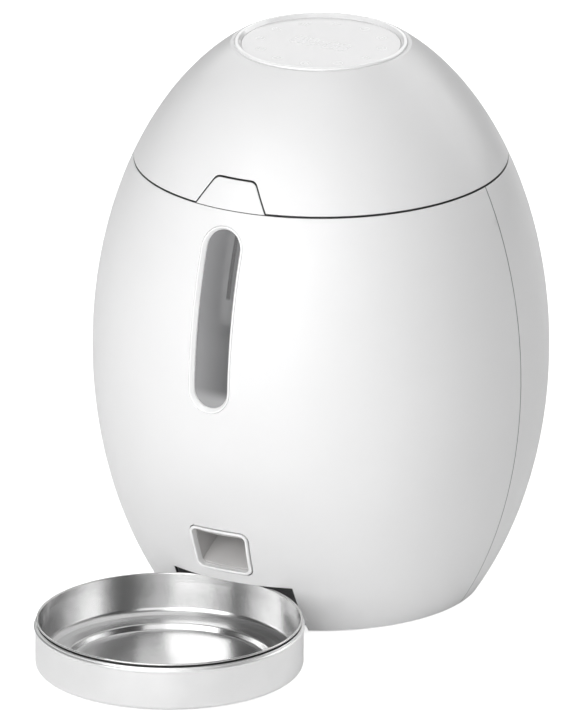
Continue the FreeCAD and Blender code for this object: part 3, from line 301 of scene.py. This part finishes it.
def relief(tree, shader, layers):
    """Bump from (height, depth in metres) layers, one on top of another."""
    previous = None
    for height, depth in layers:
        bump = add(tree, "Bump", Height=height, Distance=depth)
        if previous:
            tree.links.new(previous, bump.inputs["Normal"])
        previous = bump.outputs["Normal"]
    tree.links.new(previous, shader.inputs["Normal"])


# Materials

def painted_gap_shade(tree):
    """Painted shade mask: 1 on the shell's edges inside the seam, the parting line and the gaps at the front,
    up to 0.8 on the skin beside the parting line, else 0.
    """
    split = add(tree, "SeparateXYZ", Vector=place(tree))
    across, along, height = split.outputs["X"], split.outputs["Y"], split.outputs["Z"]
    along = calculate(tree, "SUBTRACT", along, EGG_Y)
    height_from_centre = calculate(tree, "SUBTRACT", height, EGG_CENTRE_Z)
    shares = (
        calculate(tree, "DIVIDE", across, EGG_RADIUS),
        calculate(tree, "DIVIDE", along, EGG_RADIUS),
        calculate(tree, "DIVIDE", height_from_centre, EGG_HALF_HEIGHT),
    )
    squares = [calculate(tree, "MULTIPLY", share, share) for share in shares]
    level = calculate(tree, "SQRT", calculate(tree, "ADD", calculate(tree, "ADD", *squares[:2]), squares[2]))
    below_skin = map_range(tree, level, *GAP_OUTER_LEVELS, 1.0, 0.0)
    above_inside = map_range(tree, level, *GAP_INNER_LEVELS, 0.0, 1.0)
    at_front = map_range(tree, along, -EGG_RADIUS / 2, -EGG_RADIUS / 2 + 1 * MM, 1.0, 0.0)
    from_seam = calculate(tree, "ABSOLUTE", calculate(tree, "SUBTRACT", height, SEAM_Z))
    at_seam = map_range(tree, from_seam, *SEAM_REACH, 1.0, 0.0)
    from_parting = calculate(tree, "ABSOLUTE", along)
    body = map_range(tree, height, SEAM_Z - 0.2 * MM, SEAM_Z, 1.0, 0.0)
    at_parting = calculate(tree, "MULTIPLY", body, map_range(tree, from_parting, *PARTING_REACH, 1.0, 0.0))
    near_gap = calculate(tree, "MAXIMUM", calculate(tree, "MAXIMUM", at_front, at_seam), at_parting)
    painted_wall_shade = calculate(tree, "MULTIPLY", calculate(tree, "MULTIPLY", below_skin, above_inside), near_gap)
    painted_lip_shade = calculate(tree, "MULTIPLY", body, map_range(tree, from_parting, *PARTING_SHADE_LIPS, 0.8, 0.0))
    return calculate(tree, "MAXIMUM", painted_wall_shade, painted_lip_shade)


def plastic(name, colour, roughness, grain=None, shade=0.96, waviness=0.00006, ior=1.46, paint_gap_shade=False):
    """Moulded plastic, slightly uneven in tone and gloss; grain is the (scale, depth) of a textured mould."""
    material, tree, shader = new_material(name)
    flow = noise(tree, 18.0)
    dark = tuple(shade * c for c in colour)
    tone = blend_colour(tree, map_range(tree, flow, 0.3, 0.7, 0, 1), dark, colour)
    # painted shade: the gaps' walls and the skin beside the parting line turn near black
    if paint_gap_shade:
        tone = blend_colour(tree, painted_gap_shade(tree), tone, (0.08, 0.08, 0.08))
    plug(tree, shader.inputs["Base Color"], tone)
    shader.inputs["IOR"].default_value = ior
    handling = noise(tree, 130.0, 6.0)
    gloss = map_range(tree, handling, 0.3, 0.7, 0.85 * roughness, 1.15 * roughness)
    plug(tree, shader.inputs["Roughness"], gloss)
    layers = [(flow, waviness), (noise(tree, 2600.0, 2.0), 0.000001)]
    if grain:
        layers.append((cells(tree, grain[0]), grain[1]))
    relief(tree, shader, layers)
    return material


def rubber(name, colour, speckle=0.8):
    """Matt rubber with a little pale dust in its grain."""
    material, tree, shader = new_material(name)
    dust = noise(tree, 900.0, 6.0)
    pale = tuple(min(1.0, c / speckle) for c in colour)
    dusty = map_range(tree, dust, 0.45, 0.7, 0, 1)
    plug(tree, shader.inputs["Base Color"], blend_colour(tree, dusty, colour, pale))
    plug(tree, shader.inputs["Roughness"], map_range(tree, dust, 0.3, 0.7, 0.7, 0.9))
    relief(tree, shader, [(cells(tree, 1500.0), 0.00002)])
    return material


def metal(name, colour, roughness, marks=None, anisotropy=0.0, depth=0.0000015, metallic=1.0):
    """Metal with faint stains; marks(tree) gives the height of its machining or brushing marks."""
    material, tree, shader = new_material(name)
    stains = noise(tree, 45.0, 5.0)
    dark = tuple(0.97 * c for c in colour)
    stained = map_range(tree, stains, 0.35, 0.65, 0, 1)
    plug(tree, shader.inputs["Base Color"], blend_colour(tree, stained, dark, colour))
    gloss = map_range(tree, stains, 0.3, 0.7, 0.95 * roughness, 1.05 * roughness)
    plug(tree, shader.inputs["Roughness"], gloss)
    shader.inputs["Metallic"].default_value = metallic
    if anisotropy:
        shader.inputs["Anisotropic"].default_value = anisotropy
        shader.inputs["Anisotropic Rotation"].default_value = 0.25
        tangent = add(tree, "Tangent", {"direction_type": "RADIAL", "axis": "Z"})
        tree.links.new(tangent.outputs[0], shader.inputs["Tangent"])
    height = marks(tree) if marks else noise(tree, 2500.0, 3.0)
    relief(tree, shader, [(height, depth)])
    return material


def smoked_lens():
    """Smoked acrylic, paler to its foot; painted shade darkens it to the right and draws a dark strip on its
    upper part, darker beyond.
    """
    material, tree, shader = new_material("smoked_lens")
    split = add(tree, "SeparateXYZ", Vector=place(tree))
    across, height = split.outputs["X"], split.outputs["Z"]
    # painted shade: darker from the lens's left side to its right
    depth = map_range(tree, across, -WINDOW_HALF_WIDTH, WINDOW_HALF_WIDTH, 0.0, 1.0)
    smoke_and_shade = blend_colour(tree, depth, (0.27, 0.27, 0.275), (0.11, 0.111, 0.113))
    # painted shade: a dark upright strip on the upper lens, and darker still beyond it to the right
    upper = map_range(tree, height, SHADE_STRIP_LOW_Z, SHADE_STRIP_LOW_Z + 2 * MM, 0.0, 1.0)
    away = calculate(tree, "ABSOLUTE", calculate(tree, "SUBTRACT", across, SHADE_STRIP_X))
    painted_strip = calculate(tree, "MULTIPLY", map_range(tree, away, SHADE_STRIP_CORE, SHADE_STRIP_EDGE, 1.0, 0.0), upper)
    painted_shade_beyond = map_range(tree, across, SHADE_STRIP_X - 0.5 * MM, SHADE_STRIP_X + 0.5 * MM, 0.0, 0.45)
    painted_shade_beyond = calculate(tree, "MULTIPLY", painted_shade_beyond, upper)
    smoke_and_shade = blend_colour(tree, painted_shade_beyond, smoke_and_shade, (0.06, 0.06, 0.062))
    smoke_and_shade = blend_colour(tree, painted_strip, smoke_and_shade, (0.03, 0.03, 0.031))
    foot = map_range(tree, height, WINDOW_LOW_Z + 6.3 * MM, WINDOW_LOW_Z + 14.3 * MM, 1.0, 0.0)
    plug(tree, shader.inputs["Base Color"], blend_colour(tree, foot, smoke_and_shade, (0.36, 0.36, 0.365)))
    plug(tree, shader.inputs["Roughness"], map_range(tree, noise(tree, 90.0, 6.0), 0.35, 0.65, 0.1, 0.2))
    shader.inputs["Alpha"].default_value = 0.95
    relief(tree, shader, [(noise(tree, 40.0), 0.00002)])
    return material


def clear_bin():
    """Pale translucent plastic of the food bin, lightly scuffed by the food."""
    material, tree, shader = new_material("bin_plastic")
    scuffs = noise(tree, 30.0, 1.0)
    scuffed = map_range(tree, scuffs, 0.2, 0.8, 0, 1)
    colour = blend_colour(tree, scuffed, (0.76, 0.77, 0.78), (0.79, 0.8, 0.81))
    plug(tree, shader.inputs["Base Color"], colour)
    plug(tree, shader.inputs["Roughness"], map_range(tree, scuffs, 0.2, 0.8, 0.28, 0.33))
    shader.inputs["Transmission Weight"].default_value = 0.08
    relief(tree, shader, [(scuffs, 0.00001)])
    return material


def circuit_board(name, axis, face, chips_above):
    """Green solder mask with traces; what stands off the board's face is black chips and pads."""
    material, tree, shader = new_material(name)
    pattern = {"distance": "MANHATTAN", "feature": "F1"}
    traces = add(tree, "TexVoronoi", pattern, Vector=place(tree), Scale=240.0)
    lines = map_range(tree, traces.outputs["Distance"], 0.48, 0.54, 0.0, 1.0)
    board = blend_colour(tree, lines, (0.012, 0.12, 0.055), (0.03, 0.22, 0.1))
    level = add(tree, "SeparateXYZ", Vector=place(tree)).outputs[axis]
    if chips_above:
        off_board = map_range(tree, level, face, face + 0.1 * MM, 0.0, 1.0)
    else:
        off_board = map_range(tree, level, face - 0.1 * MM, face, 1.0, 0.0)
    chips = blend_colour(tree, noise(tree, 800.0), (0.02, 0.02, 0.022), (0.05, 0.05, 0.052))
    plug(tree, shader.inputs["Base Color"], blend_colour(tree, off_board, board, chips))
    plug(tree, shader.inputs["Roughness"], map_range(tree, noise(tree, 300.0), 0.3, 0.7, 0.3, 0.5))
    relief(tree, shader, [(lines, 0.00003)])
    return material


def battery_skin():
    """Plain sleeve with a coloured shoulder band and bare metal ends."""
    material, tree, shader = new_material("battery_skin")
    low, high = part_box("battery_cells")
    along = add(tree, "SeparateXYZ", Vector=place(tree)).outputs["Y"]
    band = map_range(tree, along, high.y - 16 * MM, high.y - 15.6 * MM, 0.0, 1.0)
    cap = map_range(tree, along, high.y - 3.2 * MM, high.y - 3.0 * MM, 0.0, 1.0)
    foot = map_range(tree, along, low.y + 0.6 * MM, low.y + 0.8 * MM, 1.0, 0.0)
    bare = calculate(tree, "MAXIMUM", cap, foot)
    sleeve = blend_colour(tree, band, (0.03, 0.045, 0.08), (0.5, 0.3, 0.06))
    plug(tree, shader.inputs["Base Color"], blend_colour(tree, bare, sleeve, (0.6, 0.6, 0.61)))
    plug(tree, shader.inputs["Metallic"], bare)
    plug(tree, shader.inputs["Roughness"], map_range(tree, noise(tree, 200.0, 5.0), 0.3, 0.7, 0.22, 0.34))
    relief(tree, shader, [(noise(tree, 60.0), 0.00005)])
    return material


def bowl_marks(tree):
    """Height of the rings that spinning leaves in the bowl."""
    return turned(tree, Vector((0.0, BOWL_Y, 0.0)), 1400.0)


def shaft_marks(tree):
    """Height of the rings that turning leaves, centred on the rotor's shaft."""
    return turned(tree, Vector((0.0, EGG_Y, 0.0)), 4000.0)


def finishes():
    """The material of each slot of the record, then those of the panel's print and of the painted shade in the
    bowl's rim groove.
    """
    return {
        # body_white carries painted shade in its gaps and beside the parting line
        "body_white": plastic("body_white", (0.86, 0.86, 0.862), 0.34, shade=0.985, paint_gap_shade=True),
        "trim_white": plastic("trim_white", (0.98, 0.98, 0.982), 0.14, shade=0.985, ior=1.8),
        "smoked_lens": smoked_lens(),
        "touch_panel": plastic(
            "touch_panel", (0.85, 0.85, 0.853), 0.14, shade=0.985, waviness=0.00001, ior=1.6),
        "inner_grey": plastic("inner_grey", (0.6, 0.59, 0.585), 0.42, (900.0, 0.00001)),
        "dark_plastic": plastic("dark_plastic", (0.28, 0.28, 0.285), 0.5, (700.0, 0.00003)),
        "base_grey": plastic("base_grey", (0.55, 0.55, 0.555), 0.55, (1100.0, 0.00004)),
        "rubber_grey": rubber("rubber_grey", (0.05, 0.05, 0.052)),
        "screw_steel": metal("screw_steel", (0.55, 0.55, 0.56), 0.3),
        "battery_skin": battery_skin(),
        "contact_metal": metal("contact_metal", (0.65, 0.63, 0.6), 0.25),
        "jack_black": plastic("jack_black", (0.02, 0.02, 0.021), 0.4, (900.0, 0.00002)),
        "bin_plastic": clear_bin(),
        "rotor_plastic": plastic("rotor_plastic", (0.3, 0.42, 0.48), 0.4, (800.0, 0.00001)),
        "wiper_rubber": rubber("wiper_rubber", (0.6, 0.6, 0.58), 0.92),
        "shaft_steel": metal("shaft_steel", (0.6, 0.6, 0.61), 0.2, shaft_marks),
        "gear_plastic": plastic("gear_plastic", (0.8, 0.78, 0.7), 0.38, (1500.0, 0.000005)),
        "pinion_brass": metal("pinion_brass", (0.75, 0.55, 0.25), 0.25, shaft_marks),
        "motor_steel": metal("motor_steel", (0.55, 0.55, 0.56), 0.35, shaft_marks),
        "case_grey": plastic("case_grey", (0.12, 0.125, 0.135), 0.5, (900.0, 0.00003)),
        "spring_steel": metal("spring_steel", (0.5, 0.5, 0.51), 0.25),
        "liner_white": plastic("liner_white", (0.78, 0.78, 0.785), 0.5, (1100.0, 0.00003)),
        "seal_silicone": rubber("seal_silicone", (0.5, 0.51, 0.52), 0.9),
        "bowl_steel": metal("bowl_steel", (0.74, 0.74, 0.74), 0.25, bowl_marks, 0.7),
        "bowl_satin": metal("bowl_satin", (0.95, 0.95, 0.95), 0.34, bowl_marks, 0.3, 0.000003, 0.8),
        "print_white": plastic("print_white", (0.97, 0.97, 0.97), 0.3, shade=0.98, ior=1.8),
        # painted shade: near black metal for the strip that stands for the shadowed groove under the bowl's rim
        "painted_rim_shade": metal("painted_rim_shade", (0.05, 0.05, 0.05), 0.6, bowl_marks),
    }


def dress_nodes(materials):
    """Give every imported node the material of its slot."""
    own = {
        "main_board": circuit_board("control_board", "Y", MAIN_BOARD_FRONT_Y, False),
        "display_board": circuit_board("display_board", "Z", DISPLAY_BOARD_TOP_Z, True),
    }
    for part in frame["record"]["subparts"]:
        node = frame["nodes"][part["node"]]
        node.data.materials.clear()
        node.data.materials.append(own.get(part["node"]) or materials[part["material_slot"]])


# Meshes

def make_piece(name, shape, body, material, replaced=()):
    """Object from a bmesh, smooth but for its corners, that rides on a body."""
    bmesh.ops.recalc_face_normals(shape, faces=shape.faces)
    mesh = bpy.data.meshes.new(name)
    shape.to_mesh(mesh)
    shape.free()
    mesh.shade_smooth()
    mesh.set_sharp_from_angle(angle=math.radians(40))
    mesh.materials.append(material)
    piece = bpy.data.objects.new(name, mesh)
    bpy.context.scene.collection.objects.link(piece)
    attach(piece, body)
    if replaced:
        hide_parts(*replaced)
    return piece


def rounded(corners, steps=6):
    """Closed outline through (u, v, radius) corners, each rounded by its radius."""
    outline = []
    count = len(corners)
    for i, (u, v, radius) in enumerate(corners):
        corner = Vector((u, v))
        if radius <= 0:
            outline.append(corner)
            continue
        before = (Vector(corners[i - 1][:2]) - corner).normalized()
        after = (Vector(corners[(i + 1) % count][:2]) - corner).normalized()
        half = before.angle(after) / 2
        reach = radius / math.tan(half)
        start, end = corner + before * reach, corner + after * reach
        centre = corner + (before + after).normalized() * (radius / math.sin(half))
        first, last = start - centre, end - centre
        turn = first.angle_signed(last)
        for step in range(steps + 1):
            share = step / steps
            angle = -turn * share
            rotated = Vector((
                first.x * math.cos(angle) - first.y * math.sin(angle),
                first.x * math.sin(angle) + first.y * math.cos(angle),
            ))
            outline.append(centre + rotated)
    return outline


def grid_faces(shape, rows, closed_rows, closed_columns=True):
    """Quads between rows of vertices."""
    pairs = zip(rows, rows[1:] + rows[:1]) if closed_rows else zip(rows, rows[1:])
    for low, high in pairs:
        count = len(low)
        for i in range(count if closed_columns else count - 1):
            j = (i + 1) % count
            shape.faces.new((low[i], low[j], high[j], high[i]))


def lathe(outline, centre_y, segments=192):
    """Ring or disc turned round an upright axis from a closed (radius, z) outline."""
    shape = bmesh.new()
    rows = []
    for radius, z in outline:
        if radius < 0.01 * MM:
            rows.append([shape.verts.new((0, centre_y, z))])
            continue
        row = []
        for i in range(segments):
            angle = 2 * math.pi * i / segments
            row.append(shape.verts.new((radius * math.cos(angle), centre_y + radius * math.sin(angle), z)))
        rows.append(row)
    for low, high in zip(rows, rows[1:] + rows[:1]):
        if len(low) == 1 and len(high) == 1:
            continue
        for i in range(segments):
            j = (i + 1) % segments
            corners = [low[i % len(low)], low[j % len(low)], high[j % len(high)], high[i % len(high)]]
            shape.faces.new(list(dict.fromkeys(corners)))
    return shape


def egg_front(x, z, depth):
    """Y of the egg's front at a place, depth being how far inside its surface."""
    rise = (z - EGG_CENTRE_Z) / (EGG_HALF_HEIGHT - depth)
    radius_squared = (EGG_RADIUS - depth) ** 2 * (1 - rise * rise)
    return EGG_Y - math.sqrt(radius_squared - x * x)


def front_ring(outline_at, section):
    """Ring in the egg's front from a closed section of (inset, depth) points."""
    shape = bmesh.new()
    rows = []
    for inset, depth in section:
        rows.append([shape.verts.new((x, egg_front(x, z, depth), z)) for x, z in outline_at(inset)])
    grid_faces(shape, rows, True)
    return shape


def divided(corners, radius, side_steps, arc_steps=12):
    """Rounded outline whose straight sides are divided, so that it can follow the egg."""
    arcs = rounded([(x, z, radius) for x, z in corners], arc_steps)
    outline = []
    arc_points = arc_steps + 1
    for side in range(len(corners)):
        arc = arcs[side * arc_points:(side + 1) * arc_points]
        outline.extend(arc)
        start = arc[-1]
        end = arcs[(side + 1) * arc_points % len(arcs)]
        for step in range(1, side_steps[side]):
            outline.append(start.lerp(end, step / side_steps[side]))
    return outline


def window_outline(inset):
    """Outline of the level window, drawn in by an inset: straight sides and half-round ends."""
    wide = WINDOW_HALF_WIDTH - inset
    low, high = WINDOW_LOW_Z + inset, WINDOW_HIGH_Z - inset
    return divided([(-wide, low), (wide, low), (wide, high), (-wide, high)], 0.999 * wide, (1, 30, 1, 30), 16)


def outlet_outline(inset):
    """Outline of the food outlet, drawn in by an inset; it is a little wider at its top."""
    wide = OUTLET_HALF_WIDTH - inset
    low, high = OUTLET_LOW_Z + inset, OUTLET_HIGH_Z - inset
    foot = wide - OUTLET_TAPER
    corners = [(-foot, low), (foot, low), (wide, high), (-wide, high)]
    return divided(corners, OUTLET_CORNER - 0.8 * inset, (14, 10, 14, 10))


def make_window_bezel(materials):
    """White frame whose face slopes down to the lens."""
    section = rounded([
        (0.12 * MM, LENS_INSET - 0.1 * MM, 0),
        (0.12 * MM, 0.02 * MM, 0.25 * MM),
        (0.9 * MM, 0.02 * MM, 0.3 * MM),
        (2.5 * MM, 2.3 * MM, 0.4 * MM),
        (2.6 * MM, LENS_INSET - 0.05 * MM, 0),
    ], 4)
    shape = front_ring(window_outline, section)
    make_piece("window_bezel", shape, "housing", materials["trim_white"], ["window_frame"])


def make_outlet_rim(materials):
    """Rounded rim that stands proud of the shell in a fine groove."""
    section = rounded([
        (0.5 * MM, 3.5 * MM, 0),
        (0.5 * MM, -1.0 * MM, 0.6 * MM),
        (2.2 * MM, -1.0 * MM, 0.7 * MM),
        (2.2 * MM, 3.5 * MM, 0),
    ], 6)
    shape = front_ring(outlet_outline, section)
    make_piece("outlet_rim", shape, "housing", materials["trim_white"], ["outlet_bezel"])


def turned_shape(corners, centre_y, steps=6):
    """Ring or disc from (radius, z, corner radius) corners in mm."""
    return lathe(rounded([(r * MM, z * MM, radius * MM) for r, z, radius in corners], steps), centre_y)


def make_bowl_liner(materials):
    """Pressed steel liner with its rolled rim; its inside from the middle outwards, then its outside back."""
    top = BOWL_HEIGHT / MM
    inside = [
        (0.0, 2.4, 0), (58.0, 2.4, 1.2), (59.2, 6.0, 1.2), (66.0, 6.3, 2.0), (73.0, 8.6, 5.0),
    ]
    rim = [
        (73.9, top - 0.6, 0.4), (74.3, top, 0.42), (75.2, top, 0.44), (75.2, top - 1.0, 0.4),
        (74.4, top - 1.0, 0.2), (74.3, top - 3.2, 0.2), (73.9, top - 3.2, 0.1),
    ]
    outside = [
        (72.2, 9.2, 4.4), (66.0, 5.4, 2.0), (59.9, 5.2, 1.0), (58.9, 1.5, 1.0), (0.0, 1.5, 0),
    ]
    shape = turned_shape(inside + rim + outside, BOWL_Y, 8)
    make_piece("bowl_liner", shape, "bowl", materials["bowl_steel"], ["steel_bowl"])


def make_bowl_wall(materials):
    """Satin outer wall with a foot turned in and a bead; its inside downwards, then its outside upwards."""
    outer = BOWL_RADIUS / MM
    bead = BOWL_BEAD_RADIUS / MM
    edge = BOWL_HEIGHT / MM - 2.2
    foot = BOWL_FOOT_Z / MM
    inside = [
        (74.7, edge, 0.2), (outer - 0.75, foot + 1.6, 2.6), (70.0, foot + 0.7, 0.6), (61.0, foot + 0.7, 0.2),
    ]
    outside = [
        (61.0, foot, 0.2), (70.0, foot, 0.6), (outer, foot + 0.8, 3.0), (outer, edge - 3.4, 0.6),
        (bead, edge - 2.7, 0.6), (bead, edge - 1.7, 0.5),
        (outer - 0.1, edge - 1.1, 0.5), (outer - 0.2, edge, 0.6),
    ]
    shape = turned_shape(inside + outside, BOWL_Y, 8)
    make_piece("bowl_wall", shape, "bowl", materials["bowl_satin"], ["bowl_shell"])


def make_bowl_rim_shade(materials):
    """Dark strip that stands for the shadowed groove under the bowl's rim."""
    top = BOWL_HEIGHT / MM
    section = [(74.32, top - 1.05, 0), (74.6, top - 1.05, 0), (74.6, top - 3.0, 0), (74.32, top - 3.0, 0)]
    shape = turned_shape(section, BOWL_Y)
    make_piece("bowl_rim_shade", shape, "bowl", materials["painted_rim_shade"])


def make_panel_ring(materials):
    """Raised bead that holds the touch panel: its foot in the lid, then over its top to the panel's seat."""
    top = TOP_Z / MM
    outside = [
        (43.9, top - 4.4, 0), (48.8, top - 4.4, 0), (48.8, top, 0.3), (49.5, top + 0.05, 0.3),
    ]
    crown = [
        (49.3, top + 1.5, 1.2), (47.0, top + 1.5, 0.9),
    ]
    seat = [
        (45.4, top - 0.3, 0.3), (45.4, top - 2.85, 0), (43.9, top - 2.85, 0),
    ]
    ring = turned_shape(outside + crown + seat, EGG_Y, 10)
    make_piece("panel_bead", ring, "lid", materials["trim_white"], ["panel_ring"])


def make_spring(materials):
    """Coil spring behind the release tab."""
    low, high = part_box("button_spring")
    middle = (low + high) / 2
    coil = (high.x - low.x) / 2 - SPRING_WIRE
    length = high.y - low.y - 2 * SPRING_WIRE
    shape = bmesh.new()
    rings = []
    steps = SPRING_TURNS * SPRING_TURN_STEPS
    for i in range(steps + 1):
        share = i / steps
        angle = 2 * math.pi * SPRING_TURNS * share
        outward = Vector((math.cos(angle), 0, math.sin(angle)))
        centre = Vector((middle.x, low.y + SPRING_WIRE + length * share, middle.z)) + outward * coil
        ring = []
        for j in range(SPRING_SIDES):
            turn = 2 * math.pi * j / SPRING_SIDES
            offset = outward * math.cos(turn) + Vector((0, 1, 0)) * math.sin(turn)
            ring.append(shape.verts.new(centre + offset * SPRING_WIRE))
        rings.append(ring)
    grid_faces(shape, rings, False)
    shape.faces.new(rings[0])
    shape.faces.new(rings[-1][::-1])
    steel = materials["spring_steel"]
    spring = make_piece("tab_spring", shape, "housing", steel, ["button_spring"])
    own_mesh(spring)


# Print on the touch panel

def add_mark(shape, points, thickness):
    """Raised flat mark from a convex outline in the panel's plane."""
    top = [shape.verts.new((x, EGG_Y + y, PANEL_TOP_Z + thickness)) for x, y in points]
    foot = [shape.verts.new((x, EGG_Y + y, PANEL_TOP_Z - PRINT_THICKNESS)) for x, y in points]
    shape.faces.new(top)
    shape.faces.new(foot[::-1])
    grid_faces(shape, [foot, top], False)


def add_stroke(shape, start, end, width=ICON_STROKE):
    """Straight mark with pointed ends.

    Its thickness follows its direction, so that crossing marks never share a face.
    """
    along = (Vector(end) - Vector(start)).normalized() * width / 2
    side = Vector((-along.y, along.x))
    start, end = Vector(start), Vector(end)
    edge = side * 0.9
    points = [start - along, start - edge, end - edge, end + along, end + edge, start + edge]
    add_mark(shape, points, PRINT_THICKNESS * (1 + 0.3 * abs(side.normalized().x)))


def add_arc(shape, centre, radius, start=0.0, sweep=360.0, pieces=24):
    """Raised flat arc round a centre, angles in degrees."""
    rows = []
    for reach, lift in ((-0.5, -1), (-0.5, 1), (0.5, 1), (0.5, -1)):
        row = []
        for i in range(pieces + 1):
            angle = math.radians(start + sweep * i / pieces)
            outward = Vector((math.cos(angle), math.sin(angle)))
            x, y = Vector(centre) + (radius + reach * ICON_STROKE) * outward
            row.append(shape.verts.new((x, EGG_Y + y, PANEL_TOP_Z + 0.8 * lift * PRINT_THICKNESS)))
        rows.append(row)
    grid_faces(shape, rows, True, False)


def icon_strokes(kind):
    """Straight strokes and arcs of a plain pictogram about 6 mm across."""
    circle = [((0, 0), 2.7, 0, 360)]
    if kind == 0:
        return [((0, 0), (0, 1.8)), ((0, 0), (1.3, 0))], circle
    if kind == 1:
        return [((-1.4, 0), (1.4, 0)), ((0, -1.4), (0, 1.4))], circle
    if kind == 2:
        return [((-1.4, 0), (1.4, 0))], circle
    if kind == 3:
        return [((-1.8, -2.2), (2.4, 0)), ((2.4, 0), (-1.8, 2.2)), ((-1.8, 2.2), (-1.8, -2.2))], []
    if kind == 4:
        return [((x, -2.2), (x, -2.2 + 1.3 * i)) for i, x in enumerate((-2.2, -0.7, 0.8, 2.3), 1)], []
    if kind == 5:
        return [((-2.6, 0.4), (2.6, 0.4)), ((-1.0, 2.2), (-1.0, 1.4)), ((1.0, 2.2), (1.0, 1.4))], [
            ((0, 0.4), 2.6, 180, 180)]
    if kind == 6:
        return [((0, 0.4), (0, 2.8))], [((0, -0.2), 2.4, 120, 300)]
    box = [(-2.2, -2.0), (2.2, -2.0), (2.2, 2.0), (-2.2, 2.0)]
    return list(zip(box, box[1:] + box[:1])) + [((-1.0, 0), (1.0, 0))], []


def make_print(materials):
    """Ring of plain pictograms round a block of seven-segment digits."""
    shape = bmesh.new()
    for i in range(12):
        angle = math.radians(15 + 30 * i)
        middle = ICON_CIRCLE * Vector((math.cos(angle), math.sin(angle)))
        lines, arcs = icon_strokes(i % 8)
        for start, end in lines:
            add_stroke(shape, middle + Vector(start) * MM, middle + Vector(end) * MM)
        for centre, radius, start, sweep in arcs:
            add_arc(shape, middle + Vector(centre) * MM, radius * MM, start, sweep)
    lit = {"0": "abcdef", "8": "abcdefg"}
    wide, high = DIGIT_WIDTH, DIGIT_HEIGHT / 2
    segments = {
        "a": ((0, 2), (1, 2)), "b": ((1, 1), (1, 2)), "c": ((1, 0), (1, 1)), "d": ((0, 0), (1, 0)),
        "e": ((0, 0), (0, 1)), "f": ((0, 1), (0, 2)), "g": ((0, 1), (1, 1)),
    }
    left = -DIGIT_STEP * (len(DIGITS) - 1.5) / 2 + (DIGIT_STEP - DIGIT_WIDTH) / 2 - DIGIT_STEP / 2
    for sign in DIGITS:
        if sign == ":":
            for rise in (0.5, 1.5):
                spot = Vector((left + 0.2 * MM, (rise - 1) * high))
                add_stroke(shape, spot, spot + Vector((0.8 * MM, 0)), 1.2 * MM)
            left += DIGIT_STEP / 2
            continue
        for name in lit[sign]:
            ends = []
            for u, v in segments[name]:
                ends.append(Vector((left + u * wide, (v - 1) * high)))
            inset = (ends[1] - ends[0]).normalized() * 0.6 * MM
            add_stroke(shape, ends[0] + inset, ends[1] - inset, 1.1 * MM)
        left += DIGIT_STEP
    make_piece("panel_print", shape, "lid", materials["print_white"])


make_camera()
make_world()
make_floor()
make_lights()
MATERIALS = finishes()
dress_nodes(MATERIALS)
make_window_bezel(MATERIALS)
make_outlet_rim(MATERIALS)
make_bowl_liner(MATERIALS)
make_bowl_wall(MATERIALS)
make_bowl_rim_shade(MATERIALS)
make_panel_ring(MATERIALS)
make_print(MATERIALS)
make_spring(MATERIALS)
bpy.context.scene.view_settings.view_transform = "Standard"
